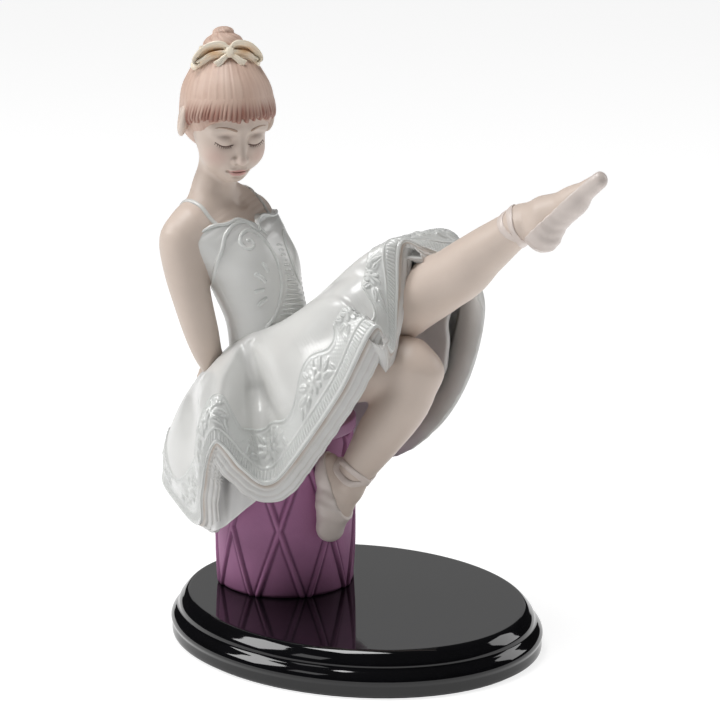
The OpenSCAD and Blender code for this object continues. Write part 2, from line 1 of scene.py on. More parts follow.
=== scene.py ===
import math
import bpy
import numpy as np
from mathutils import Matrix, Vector


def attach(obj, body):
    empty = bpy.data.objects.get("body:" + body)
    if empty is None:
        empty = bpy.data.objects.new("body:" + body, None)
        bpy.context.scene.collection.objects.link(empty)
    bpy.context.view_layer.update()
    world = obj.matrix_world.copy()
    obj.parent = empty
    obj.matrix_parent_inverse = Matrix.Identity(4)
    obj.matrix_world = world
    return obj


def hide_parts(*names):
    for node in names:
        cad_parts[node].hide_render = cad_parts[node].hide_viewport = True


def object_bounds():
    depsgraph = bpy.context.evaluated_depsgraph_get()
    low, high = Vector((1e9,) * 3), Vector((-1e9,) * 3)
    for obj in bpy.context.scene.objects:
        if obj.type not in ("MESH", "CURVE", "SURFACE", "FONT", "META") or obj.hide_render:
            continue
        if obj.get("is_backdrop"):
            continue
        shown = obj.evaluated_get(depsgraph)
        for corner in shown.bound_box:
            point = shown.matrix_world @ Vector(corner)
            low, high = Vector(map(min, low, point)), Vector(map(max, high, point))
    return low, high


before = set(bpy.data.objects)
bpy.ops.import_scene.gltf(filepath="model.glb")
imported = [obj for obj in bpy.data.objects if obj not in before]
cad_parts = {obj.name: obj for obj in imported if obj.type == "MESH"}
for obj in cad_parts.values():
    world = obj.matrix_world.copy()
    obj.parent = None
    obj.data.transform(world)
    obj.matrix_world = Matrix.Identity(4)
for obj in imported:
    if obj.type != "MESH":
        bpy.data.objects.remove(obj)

# ------------------------------------------------------------------ helpers
MM = 0.001


def as_list(v):
    if isinstance(v, dict):
        return {str(k): as_list(x) for k, x in v.items()}
    if isinstance(v, (list, tuple)) or hasattr(v, "__len__") and not isinstance(v, str):
        return [as_list(x) for x in v]
    try:
        return float(v)
    except (TypeError, ValueError):
        return str(v)


SIZE = {"cad": as_list(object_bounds())}


def unit(v):
    v = np.asarray(v, float)
    return v / np.maximum(np.linalg.norm(v, axis=-1, keepdims=True), 1e-9)


def crom(P, t, closed=False):
    """Catmull-Rom through the rows of P at parameters t."""
    P = np.asarray(P, float)
    n = len(P)
    t = np.asarray(t, float)
    i = np.floor(t).astype(int)
    if closed:
        f = t - i
        pick = lambda k: k % n
    else:
        i = np.clip(i, 0, n - 2)
        f = t - i
        pick = lambda k: np.clip(k, 0, n - 1)
    a, b, c, d = P[pick(i - 1)], P[pick(i)], P[pick(i + 1)], P[pick(i + 2)]
    f = f.reshape(f.shape + (1,) * (P.ndim - 1))
    return 0.5 * (2 * b + (c - a) * f + (2 * a - 5 * b + 4 * c - d) * f ** 2 + (3 * b - a - 3 * c + d) * f ** 3)


def smooth(x, a, b):
    t = np.clip((x - a) / (b - a), 0, 1)
    return t * t * (3 - 2 * t)


def ridge(d, w):
    return np.exp(-((d / w) ** 2))


def wave_noise(P, seed, scale, octaves=3):
    """Smooth band-limited noise as a sum of plane waves, about -1 to 1."""
    rng = np.random.default_rng(seed)
    out = np.zeros(P.shape[:-1])
    amp, tot = 1.0, 0.0
    for _ in range(octaves):
        for _ in range(4):
            k = rng.normal(size=3)
            k = k / np.linalg.norm(k) * (2 * math.pi / scale)
            out += amp * np.sin(P @ k + rng.uniform(0, 6.28))
        tot += amp * 2
        amp *= 0.5
        scale *= 0.5
    return out / tot


# ------------------------------------------------------------------ distance fields (millimetres)
def smin(a, b, k):
    h = np.clip(0.5 + 0.5 * (b - a) / k, 0, 1)
    return b * (1 - h) + a * h - k * h * (1 - h)


def smax(a, b, k):
    return -smin(-a, -b, k)


def rcone(P, a, b, ra, rb):
    a = np.asarray(a, float)
    ab = np.asarray(b, float) - a
    t = np.clip(((P - a) @ ab) / (ab @ ab), 0, 1)
    return np.linalg.norm(P - a - t[:, None] * ab, axis=1) - (ra + (rb - ra) * t)


def ell(P, c, r, R=None):
    q = P - np.asarray(c, float)
    if R is not None:
        q = q @ R
    r = np.asarray(r, float)
    k0 = np.linalg.norm(q / r, axis=1)
    k1 = np.linalg.norm(q / r ** 2, axis=1)
    return k0 * (k0 - 1) / np.maximum(k1, 1e-6)


def rot(ax, deg):
    a = math.radians(deg)
    c, s = math.cos(a), math.sin(a)
    if ax == "x":
        return np.array([[1, 0, 0], [0, c, -s], [0, s, c]])
    if ax == "y":
        return np.array([[c, 0, s], [0, 1, 0], [-s, 0, c]])
    return np.array([[c, -s, 0], [s, c, 0], [0, 0, 1]])


def tube(P, S, front, m=4):
    """Distance to a limb through sections [x, y, z, half width, front depth, back depth]."""
    S = np.asarray(S, float)
    L = crom(S, np.linspace(0, len(S) - 1, (len(S) - 1) * m + 1))
    front = np.asarray(front, float)
    out = np.full(len(P), 1e9)
    for i in range(len(L) - 1):
        a, b = L[i], L[i + 1]
        ab = b[:3] - a[:3]
        t = np.clip(((P - a[:3]) @ ab) / (ab @ ab), 0, 1)
        T = unit(ab)
        f = unit(front - (front @ T) * T)
        s = np.cross(T, f)
        q = P - a[:3] - t[:, None] * ab
        x, y, z = q @ s, q @ f, q @ T
        w = a[3:] + t[:, None] * (b[3:] - a[3:])
        B = np.where(y > 0, w[:, 1], w[:, 2])
        M = np.minimum(w[:, 0], B)
        k = np.sqrt((x / w[:, 0]) ** 2 + (y / B) ** 2 + (z / (0.7 * M)) ** 2)
        out = np.minimum(out, (k - 1) * M)
    return out


def nets(f, lo, hi, h, coarse=4, fix=2):
    """Surface nets: a closed quad mesh of f = 0, from a narrow band of a fine grid."""
    lo = np.asarray(lo, float)
    n = np.ceil((np.asarray(hi, float) - lo) / h / coarse).astype(int) * coarse + 1
    ax = [lo[i] + h * np.arange(n[i]) for i in range(3)]
    cx = [a[::coarse] for a in ax]
    G = np.stack(np.meshgrid(*cx, indexing="ij"), -1)
    C = f(G.reshape(-1, 3)).reshape(G.shape[:3])
    near = np.abs(C) < coarse * h * 2.0
    b = np.zeros(tuple(np.array(C.shape) - 1), bool)
    for i in (0, 1):
        for j in (0, 1):
            for k in (0, 1):
                b |= near[i:C.shape[0] - 1 + i, j:C.shape[1] - 1 + j, k:C.shape[2] - 1 + k]
    up = lambda A: np.repeat(np.repeat(np.repeat(A, coarse, 0), coarse, 1), coarse, 2)
    val = up(C)[:n[0], :n[1], :n[2]].copy()
    fine = up(b)
    M = np.zeros(tuple(n), bool)
    for i in (0, 1):
        for j in (0, 1):
            for k in (0, 1):
                M[i:n[0] - 1 + i, j:n[1] - 1 + j, k:n[2] - 1 + k] |= fine
    idx = np.nonzero(M)
    pts = np.stack([ax[i][idx[i]] for i in range(3)], -1)
    vals = np.empty(len(pts))
    for s in range(0, len(pts), 400000):
        vals[s:s + 400000] = f(pts[s:s + 400000])
    val[idx] = vals
    val[0], val[-1], val[:, 0], val[:, -1], val[:, :, 0], val[:, :, -1] = (np.maximum(x, 0.01) for x in (
        val[0], val[-1], val[:, 0], val[:, -1], val[:, :, 0], val[:, :, -1]))
    S = val < 0
    cnt = np.zeros(tuple(n - 1), np.int8)
    for i in (0, 1):
        for j in (0, 1):
            for k in (0, 1):
                cnt += S[i:n[0] - 1 + i, j:n[1] - 1 + j, k:n[2] - 1 + k]
    act = (cnt > 0) & (cnt < 8)
    ids = np.full(act.shape, -1, np.int64)
    ci = np.argwhere(act)
    ids[act] = np.arange(len(ci))
    pos = np.zeros((len(ci), 3))
    num = np.zeros(len(ci))
    corners = [(i, j, k) for i in (0, 1) for j in (0, 1) for k in (0, 1)]
    for a in corners:
        for d in range(3):
            if a[d] == 0:
                c2 = list(a)
                c2[d] = 1
                va = val[ci[:, 0] + a[0], ci[:, 1] + a[1], ci[:, 2] + a[2]]
                vb = val[ci[:, 0] + c2[0], ci[:, 1] + c2[1], ci[:, 2] + c2[2]]
                m = (va < 0) != (vb < 0)
                t = va[m] / (va[m] - vb[m])
                p = np.tile(np.array(a, float), (m.sum(), 1))
                p[:, d] += t
                pos[m] += p
                num[m] += 1
    X = lo + h * (ci + pos / num[:, None])
    quads = []
    for d in range(3):
        e, g = (d + 1) % 3, (d + 2) % 3
        sl0 = [slice(None)] * 3
        sl1 = [slice(None)] * 3
        sl0[d], sl1[d] = slice(0, -1), slice(1, None)
        cross = S[tuple(sl0)] != S[tuple(sl1)]
        q = np.argwhere(cross)
        ok = (q[:, e] > 0) & (q[:, g] > 0) & (q[:, e] < n[e] - 1) & (q[:, g] < n[g] - 1)
        q = q[ok]
        inside = S[q[:, 0], q[:, 1], q[:, 2]]
        def at(de, dg):
            r = q.copy()
            r[:, e] += de
            r[:, g] += dg
            return ids[r[:, 0], r[:, 1], r[:, 2]]
        Q = np.stack([at(-1, -1), at(0, -1), at(0, 0), at(-1, 0)], -1)
        Q[~inside] = Q[~inside][:, ::-1]
        quads.append(Q)
    Q = np.concatenate(quads)
    for _ in range(fix):
        g = gradient(f, X, 0.25 * h)
        v = f(X)
        step = v[:, None] * g / np.maximum((g * g).sum(1, keepdims=True), 0.05)
        L = np.linalg.norm(step, axis=1, keepdims=True)
        X = X - step * np.minimum(1, 0.5 * h / np.maximum(L, 1e-9))
    return X, Q


def gradient(f, X, e):
    g = np.zeros_like(X)
    for d in range(3):
        o = np.zeros(3)
        o[d] = e
        g[:, d] = (f(X + o) - f(X - o)) / (2 * e)
    return g


# ------------------------------------------------------------------ meshes
def outward(X, Q):
    """The faces of a closed mesh, turned so that they look outwards."""
    Q = np.asarray(Q)
    a = X[Q[:, 0]]
    v = sum((a * np.cross(X[Q[:, i]], X[Q[:, i + 1]])).sum() for i in range(1, Q.shape[1] - 1))
    return Q[:, ::-1] if v < 0 else Q


def make(name, X, Q, mats, attrs=None, shade=True, index=None, cad=()):
    X = np.asarray(X, float) * MM
    Q = outward(X, Q)
    me = bpy.data.meshes.new(name)
    me.vertices.add(len(X))
    me.vertices.foreach_set("co", X.astype(np.float32).ravel())
    me.loops.add(Q.size)
    me.loops.foreach_set("vertex_index", Q.astype(np.int32).ravel())
    me.polygons.add(len(Q))
    me.polygons.foreach_set("loop_start", (np.arange(len(Q)) * Q.shape[1]).astype(np.int32))
    me.polygons.foreach_set("loop_total", np.full(len(Q), Q.shape[1], np.int32))
    me.update(calc_edges=True)
    me.validate()
    if shade:
        me.polygons.foreach_set("use_smooth", np.ones(len(me.polygons), bool))
    for m in (mats if isinstance(mats, (list, tuple)) else [mats]):
        me.materials.append(m)
    if index is not None:
        me.polygons.foreach_set("material_index", np.asarray(index, np.int32))
    for key, val in (attrs or {}).items():
        val = np.asarray(val, float)
        at = me.attributes.new(key, "FLOAT_COLOR", "POINT")
        col = np.ones((len(X), 4))
        col[:, :val.shape[1] if val.ndim > 1 else 3] = val if val.ndim > 1 else val[:, None]
        at.data.foreach_set("color", col.astype(np.float32).ravel())
    ob = bpy.data.objects.new(name, me)
    bpy.context.scene.collection.objects.link(ob)
    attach(ob, "root")
    if cad:
        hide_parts(*cad)
    return ob


def grid_quads(nr, nc, wrap_r=False, wrap_c=True, base=0):
    r = np.arange(nr if wrap_r else nr - 1)
    c = np.arange(nc if wrap_c else nc - 1)
    R, C = np.meshgrid(r, c, indexing="ij")
    R, C = R.ravel(), C.ravel()
    R1, C1 = (R + 1) % nr, (C + 1) % nc
    return base + np.stack([R * nc + C, R * nc + C1, R1 * nc + C1, R1 * nc + C], -1)


def joined(parts):
    """[(X, Q), ...] as one mesh."""
    X, Q, o = [], [], 0
    for x, q in parts:
        X.append(x)
        Q.append(outward(np.asarray(x, float), q) + o)
        o += len(x)
    return np.concatenate(X), np.concatenate(Q)


def sweep(path, r, n=12, flat=1.0, normal=None, closed=False, taper=False, caps=True):
    """Tube of radius r (number or array) along path; flat scales it along normal."""
    path = np.asarray(path, float)
    m = len(path)
    if closed:
        T = unit(np.roll(path, -1, 0) - np.roll(path, 1, 0))
    else:
        T = unit(np.gradient(path, axis=0))
    if normal is None:
        ref = np.array([0.3, 0.2, 1.0])
        A = unit(np.cross(T, ref))
        N = np.cross(A, T)
    else:
        N = np.asarray(normal, float) * np.ones((m, 1))
        N = unit(N - (N * T).sum(1, keepdims=True) * T)
        A = np.cross(T, N)
    r = np.ones(m) * r
    if taper:
        s = np.linspace(0, 1, m)
        r = r * np.sqrt(np.clip(1 - (2 * s - 1) ** 8, 0.0, 1))
    q = np.linspace(0, 2 * np.pi, n, endpoint=False)
    X = path[:, None] + r[:, None, None] * (np.cos(q)[None, :, None] * A[:, None] + flat * np.sin(q)[None, :, None] * N[:, None])
    X = X.reshape(-1, 3)
    Q = grid_quads(m, n, wrap_r=closed)
    if not closed and caps:
        a = len(X)
        X = np.concatenate([X, path[:1], path[-1:]])
        k = np.arange(0, n, 2)
        c0 = np.stack([np.full(len(k), a), (k + 2) % n, k + 1, k], -1)
        c1 = np.stack([np.full(len(k), a + 1), (m - 1) * n + k, (m - 1) * n + k + 1, (m - 1) * n + (k + 2) % n], -1)
        Q = np.concatenate([Q, c0, c1])
    return X, Q


# ------------------------------------------------------------------ materials
def new_mat(name):
    m = bpy.data.materials.new(name)
    m.use_nodes = True
    nt = m.node_tree
    nt.nodes.clear()
    out = nt.nodes.new("ShaderNodeOutputMaterial")
    b = nt.nodes.new("ShaderNodeBsdfPrincipled")
    nt.links.new(b.outputs[0], out.inputs[0])
    return m, nt, b


def add(nt, kind, **kw):
    n = nt.nodes.new(kind)
    for k, v in kw.items():
        setattr(n, k, v)
    return n


def porcelain(name, col, dark=None, rough=0.35, coat=0.0, coat_rough=0.1, mottle=0.06, scale=60.0, grain=0.0,
              grain_scale=900.0, spec=0.5, paint=None, rough_var=0.05, sss=0.0):
    """Fired porcelain: two close tones mixed by noise, faint unevenness in the glaze, optional painted areas (real
    paint such as blush and lips, and painted shade).
    """
    m, nt, b = new_mat(name)
    tc = add(nt, "ShaderNodeTexCoord")
    no = add(nt, "ShaderNodeTexNoise")
    no.inputs["Scale"].default_value = scale
    no.inputs["Detail"].default_value = 4.0
    no.inputs["Roughness"].default_value = 0.55
    nt.links.new(tc.outputs["Object"], no.inputs["Vector"])
    ramp = add(nt, "ShaderNodeValToRGB")
    ramp.color_ramp.elements[0].position = 0.32
    ramp.color_ramp.elements[1].position = 0.68
    d = dark if dark is not None else [c * (1 - mottle) for c in col]
    ramp.color_ramp.elements[0].color = (*d, 1)
    ramp.color_ramp.elements[1].color = (*col, 1)
    nt.links.new(no.outputs["Fac"], ramp.inputs["Fac"])
    colour = ramp.outputs["Color"]
    for key, shade_and_streaks in (paint or {}).items():
        at = add(nt, "ShaderNodeAttribute", attribute_name=key)
        mix = add(nt, "ShaderNodeMix", data_type="RGBA")
        nt.links.new(at.outputs["Fac"], mix.inputs["Factor"])
        nt.links.new(colour, mix.inputs["A"])
        mix.inputs["B"].default_value = (*shade_and_streaks, 1)
        colour = mix.outputs["Result"]
    nt.links.new(colour, b.inputs["Base Color"])
    mr = add(nt, "ShaderNodeMapRange")
    mr.inputs["To Min"].default_value = max(0.02, rough - rough_var)
    mr.inputs["To Max"].default_value = rough + rough_var
    nt.links.new(no.outputs["Fac"], mr.inputs["Value"])
    nt.links.new(mr.outputs["Result"], b.inputs["Roughness"])
    b.inputs["Specular IOR Level"].default_value = spec
    b.inputs["Coat Weight"].default_value = coat
    b.inputs["Coat Roughness"].default_value = coat_rough
    if sss > 0:
        b.inputs["Subsurface Weight"].default_value = sss
        b.inputs["Subsurface Radius"].default_value = (1.0, 0.7, 0.5)
        b.inputs["Subsurface Scale"].default_value = 0.0015
    if grain > 0:
        g = add(nt, "ShaderNodeTexNoise")
        g.inputs["Scale"].default_value = grain_scale
        g.inputs["Detail"].default_value = 3.0
        nt.links.new(tc.outputs["Object"], g.inputs["Vector"])
        bump = add(nt, "ShaderNodeBump")
        bump.inputs["Strength"].default_value = grain
        bump.inputs["Distance"].default_value = 0.0003
        nt.links.new(g.outputs["Fac"], bump.inputs["Height"])
        nt.links.new(bump.outputs["Normal"], b.inputs["Normal"])
    return m


M_SKIN = porcelain("skin_bisque", (0.67, 0.56, 0.485), rough=0.45, coat=0.08, coat_rough=0.3, mottle=0.05, grain=0.08)
M_FACE = porcelain("face_bisque", (0.67, 0.56, 0.485), rough=0.45, coat=0.08, coat_rough=0.3, mottle=0.03, grain=0.05,
                   paint={"blush": (0.70, 0.42, 0.36), "lip": (0.62, 0.30, 0.28), "shade": (0.42, 0.33, 0.29)})
# hair_glaze: its dark paint colour is painted shade in the strand grooves, under the fringe and between and under its
# locks; on the fringe it also carries random streaks
M_HAIR = porcelain("hair_glaze", (0.635, 0.475, 0.39), dark=(0.59, 0.42, 0.34), rough=0.5, coat=0.05, coat_rough=0.35, scale=90, grain=0.1,
                   paint={"shade_and_streaks": (0.30, 0.135, 0.10)})
M_LASH = porcelain("lash_paint", (0.16, 0.10, 0.08), rough=0.45, scale=200)
M_BROW = porcelain("brow_paint", (0.44, 0.31, 0.235), rough=0.5, scale=200)
# bow_cream: its orange paint colour is painted shade inside the bow's loops
M_BOW = porcelain("bow_cream", (0.95, 0.88, 0.75), dark=(0.93, 0.81, 0.62), rough=0.35, coat=0.3, scale=120, paint={"shade_and_streaks": (0.74, 0.44, 0.2)})
M_DRESS = porcelain("dress_glaze", (0.70, 0.70, 0.68), rough=0.30, coat=0.35, coat_rough=0.12, mottle=0.03)
M_LACE = porcelain("lace_pearl", (0.70, 0.71, 0.69), rough=0.24, coat=0.6, coat_rough=0.06, mottle=0.04)
# frill_glaze: its brown paint colour is painted shade under the hem's rim and in the grooves between the frill's layers
M_FRILL = porcelain("frill_glaze", (0.68, 0.675, 0.66), dark=(0.62, 0.61, 0.59), rough=0.32, coat=0.3, mottle=0.05, paint={"shade_and_streaks": (0.44, 0.35, 0.28)})
M_LINING = porcelain("lining_glaze", (0.80, 0.79, 0.78), rough=0.35, coat=0.25, mottle=0.05)
M_SLIP = porcelain("slipper_glaze", (0.68, 0.60, 0.555), rough=0.36, coat=0.2, coat_rough=0.2, mottle=0.05, grain=0.06)
M_RIB = porcelain("ribbon_glaze", (0.72, 0.63, 0.58), rough=0.36, coat=0.2, coat_rough=0.2, mottle=0.04)
# drum_matte: its dark paint colour is painted shade in the grooves beside the cords and at the drum's foot
M_DRUM = porcelain("drum_matte", (0.47, 0.195, 0.375), dark=(0.40, 0.16, 0.32), rough=0.62, coat=0.0, mottle=0.1, grain=0.25, grain_scale=1400, paint={"shade_and_streaks": (0.15, 0.05, 0.12)})
M_HOOP = porcelain("drum_hoop_glaze", (0.54, 0.27, 0.46), dark=(0.47, 0.23, 0.40), rough=0.5, coat=0.05, grain=0.15)
M_JET = porcelain("plinth_jet", (0.004, 0.004, 0.005), dark=(0.003, 0.003, 0.0035), rough=0.05, coat=0.0, coat_rough=0.02, rough_var=0.02, spec=0.5)
M_FELT = porcelain("felt_black", (0.03, 0.03, 0.033), rough=0.95, mottle=0.3, scale=700, grain=0.6, spec=0.1)
M_STEEL = porcelain("screw_steel", (0.55, 0.55, 0.56), rough=0.35, scale=300)
M_BRASS = porcelain("insert_brass", (0.62, 0.45, 0.18), rough=0.35, scale=300)
for mm in (M_STEEL, M_BRASS):
    for nn in mm.node_tree.nodes:
        if nn.type == "BSDF_PRINCIPLED":
            nn.inputs["Metallic"].default_value = 1.0

# ------------------------------------------------------------------ body (sections as in the CAD frame)
BODY = [[-38, 0, 93, 15, 14, 14], [-39, 0, 101, 20, 16, 16], [-42, -2, 116, 18, 15, 14], [-44, -3.5, 131, 17, 14, 13.5],
        [-48, -5.5, 145, 18.5, 15.5, 14], [-52, -8, 157, 20, 15, 14], [-57, -11, 167, 21, 11.5, 12.5],
        [-60.5, -13, 174, 16, 8.5, 10], [-62, -14, 179, 8.8, 7.8, 8.2], [-61.5, -14, 186, 7.3, 7, 7.2], [-60, -13, 198, 7, 6.8, 7]]
UP_R = [[-61, -29, 169, 7.6, 7.6, 7.6], [-63, -34, 164, 8, 8, 8], [-61, -34, 152, 8, 8, 8], [-58, -32, 138, 7.6, 7.6, 7.6],
        [-56, -29.5, 126, 7.0, 7.0, 7.0], [-55.5, -26.5, 117, 6.0, 5.8, 5.8], [-56, -21.6, 109, 4.8, 4.6, 4.6]]
UP_L = [[-59, 5, 167, 7.6, 7.6, 7.6], [-62, 11, 161, 8, 8, 8], [-63, 15, 149, 7.5, 7.5, 7.5], [-63, 19, 137, 6.9, 7, 7],
        [-62, 21, 127, 6.3, 6.4, 6.4], [-61, 21, 120, 5.2, 5.2, 5.2], [-61, 20, 115, 4.4, 4, 4]]
HEAD_AT = np.array([-56.5, -11.5, 211.5])
HEAD_R = rot("z", -27) @ rot("y", 15) @ rot("x", -2)
NECK_CUT = 186.0


def to_head(P):
    return (P - HEAD_AT) @ HEAD_R


def from_head(P):
    return np.asarray(P, float) @ HEAD_R.T + HEAD_AT


def trunk(P):
    d = tube(P, BODY, (1, 0, 0.2))
    # bust, shoulder blades, hollow of the back
    d = smin(d, ell(P, (-42, -14, 152), (7, 8, 9)), 6)
    d = smin(d, ell(P, (-41, -1, 150), (7, 8, 9)), 6)
    d = smin(d, ell(P, (-64, -21, 158), (5, 7, 10)), 6)
    d = smin(d, ell(P, (-63, -2, 156), (5, 7, 10)), 6)
    d = smax(d, -rcone(P, (-70, -11.5, 168), (-59, -3, 122), 2.2, 2.0), 5)
    return d


def hand(P, at, turn, slope, side):
    R = rot("z", turn) @ rot("y", slope)
    q = (P - np.asarray(at, float)) @ R
    d = rcone(q, (-4, 0, 3.4), (1, 0, 2.8), 4.0, 3.6)
    d = smin(d, ell(q, (1.5, 0, 2.2), (5.6, 5.0, 2.4)), 2)
    for k in range(4):
        y0, y1, y2 = 3.5 - 2.35 * k, 4.4 - 2.9 * k, 4.9 - 3.25 * k
        ln = 12.8 - (1.0, 0.1, 0.3, 1.7)[k]
        e = smin(rcone(q, (4.5, y0, 1.9), (8.6, y1, 2.0), 1.5, 1.35), rcone(q, (8.6, y1, 2.0), (ln, y2, 0.7), 1.35, 1.05), 0.4)
        d = smin(d, e, 0.9)
    e = smin(rcone(q, (-1, side * 3, 2.4), (3, side * 6.2, 1.9), 1.9, 1.5), rcone(q, (3, side * 6.2, 1.9), (6.2, side * 7.7, 0.9), 1.5, 1.15), 0.5)
    return smin(d, e, 1.2)


HAND_R = ((-58.3, -17.4, 105.6), 125, 40, 1)
HAND_L = ((-61.5, 19, 111), 160, 44, -1)


def skin_field(P):
    d = trunk(P)
    # shoulders and collarbones
    d = smin(d, tube(P, UP_R, (1, 0, 0)), 5)
    d = smin(d, tube(P, UP_L, (1, 0, 0)), 5)
    d = smin(d, rcone(P, (-62, -14, 182), (-63, -27, 171.5), 5.6, 5.2), 6)
    d = smin(d, rcone(P, (-62, -13, 182), (-61, 2, 168.5), 5.6, 5.2), 6)
    d = smin(d, rcone(P, (-53.5, -12.5, 173.2), (-58.5, -27, 174.2), 1.0, 0.9), 3.2)
    d = smin(d, rcone(P, (-52.5, -8.5, 172.8), (-55.5, 3.5, 170.8), 1.0, 0.9), 3.2)
    d = smax(d, -ell(P, (-49.7, -10.8, 176.6), (1.3, 1.3, 1.5)), 3.0)
    d = smin(d, hand(P, *HAND_R), 2.5)
    d = smin(d, hand(P, *HAND_L), 2.5)
    return d


def head_field(P):
    q = to_head(P)
    a = np.abs(q[:, 1])
    s = np.stack([q[:, 0], a, q[:, 2]], -1)          # mirrored half
    d = ell(q, (-2, 0, 5), (18.6, 16.6, 18.0))
    d = smin(d, ell(q, (4.2, 0, -5.5), (13.2, 13.6, 16.0)), 5)
    d = smin(d, ell(q, (7.4, 0, -14.6), (8.6, 9.4, 8.2)), 5)
    d = smin(d, ell(s, (9.8, 7.4, -10.6), (5.6, 5.4, 6.2)), 4)
    d = smin(d, ell(q, (12.6, 0, -19.6), (3.6, 4.0, 3.2)), 4)
    d = smin(d, rcone(s, (15.0, 3.0, 1.2), (11.8, 10.6, 0.4), 1.6, 1.5), 3.2)
    d = smin(d, ell(q, (14.0, 0, -15.8), (3.6, 5.2, 4.4)), 3)
    # sockets, lids
    d = smax(d, -ell(s, (18.2, 6.3, -3.2), (3.6, 4.4, 2.9)), 2.6)
    d = smin(d, ell(s, (12.0, 6.3, -3.9), (4.3, 4.3, 3.7)), 0.7)
    # nose
    d = smin(d, rcone(q, (16.0, 0, -1.6), (19.4, 0, -10.2), 1.2, 1.75), 2.2)
    d = smin(d, ell(q, (19.6, 0, -10.8), (1.9, 2.0, 1.7)), 1.2)
    d = smin(d, ell(s, (17.6, 2.35, -11.6), (1.7, 1.25, 1.25)), 1.0)
    d = smax(d, -ell(s, (18.3, 1.35, -12.7), (0.9, 0.6, 0.6)), 0.5)
    # mouth
    d = smax(d, -rcone(q, (19.3, 0, -13.2), (18.9, 0, -14.4), 0.55, 0.6), 0.8)
    d = smin(d, ell(s, (16.6, 1.5, -15.55), (1.75, 2.3, 0.95)), 0.6)
    d = smin(d, ell(q, (16.4, 0, -17.6), (1.75, 2.9, 1.15)), 0.6)
    d = smax(d, -ell(s, (17.9, 0.9, -16.55), (1.3, 3.0, 0.20)), 0.35)
    d = smax(d, -ell(s, (16.6, 4.3, -16.5), (0.8, 0.6, 0.5)), 0.8)
    d = smax(d, -ell(q, (17.4, 0, -19.2), (1.2, 2.4, 0.7)), 1.2)
    # ears
    e = (s - np.array([-1.6, 17.4, -2.2])) @ rot("z", 18)
    ear = ell(e, (0, 0.9, 0), (4.2, 2.1, 6.6))
    ear = smax(ear, -ell(e, (0.6, 3.0, 0.6), (2.6, 1.5, 4.4)), 0.6)
    ear = smin(ear, ell(e, (1.2, 1.2, -0.8), (1.0, 1.0, 1.4)), 0.6)
    d = smin(d, ear, 1.0)
    return d


def neck_side(P):
    return P[:, 2] - NECK_CUT


def upper_skin(P):
    h = head_field(P)
    b = skin_field(P)
    return smin(h, b, 2.4)


def body_piece(P):
    d = upper_skin(P)
    k = neck_side(P)
    d = d + 0.5 * np.clip(k / 1.5, 0, 1) ** 2 * 1.2
    return smax(d, k - 4, 0.8)


def head_piece(P):
    d = upper_skin(P)
    k = -neck_side(P)
    d = d + 0.5 * np.clip(k / 1.5, 0, 1) ** 2 * 1.2
    return smax(d, k - 4, 0.8)

# ------------------------------------------------------------------ build: skin
X, Q = nets(body_piece, (-80, -60, 90), (-20, 40, 193), 0.6)
make("body_upper", X, Q, M_SKIN, cad=("torso", "arm_right", "arm_left", "hand_right", "hand_left"))

X, Q = nets(head_piece, HEAD_AT + (-28, -26, -30), HEAD_AT + (30, 26, 27), 0.34)
s = to_head(X)
a = np.stack([s[:, 0], np.abs(s[:, 1]), s[:, 2]], -1)
blush = 0.42 * np.exp(-(((a - (14.5, 9.0, -10.5)) / (6.0, 4.6, 4.2)) ** 2).sum(1))
blush += 0.2 * np.exp(-(((a - (20.5, 0, -10.8)) / (2.2, 2.0, 1.8)) ** 2).sum(1)) * (s[:, 0] > 17)
lipz = np.where(s[:, 2] > -16.55, (s[:, 2] + 16.55) / 1.25, (s[:, 2] + 16.55) / 2.1)
lip = smooth(1.05 - np.sqrt((a[:, 1] / 4.1) ** 2 + lipz ** 2), 0.0, 0.25) * (s[:, 0] > 14.0)
shade = 0.55 * ridge(np.abs(a[:, 1] - 6.4) / 4.4, 1.0) * ridge(s[:, 2] + 1.5, 1.1) * (s[:, 0] > 10) + 0.7 * ridge(s[:, 2] + 16.6, 0.25) * (a[:, 1] < 4.2) * (s[:, 0] > 15)
make("head", X, Q, M_FACE, attrs={"blush": blush, "lip": 0.8 * lip, "shade": shade}, cad=("head",))


def face_x(y, z):
    """x of the face's front at local y, z."""
    y, z = np.asarray(y, float), np.asarray(z, float)
    xs = np.arange(24, 4, -0.1)
    G = np.stack([np.broadcast_to(xs[:, None], (len(xs), len(y))), np.broadcast_to(y, (len(xs), len(y))), np.broadcast_to(z, (len(xs), len(y)))], -1)
    v = head_field(from_head(G.reshape(-1, 3))).reshape(len(xs), -1)
    i = np.argmax(v < 0, axis=0)
    return xs[i]


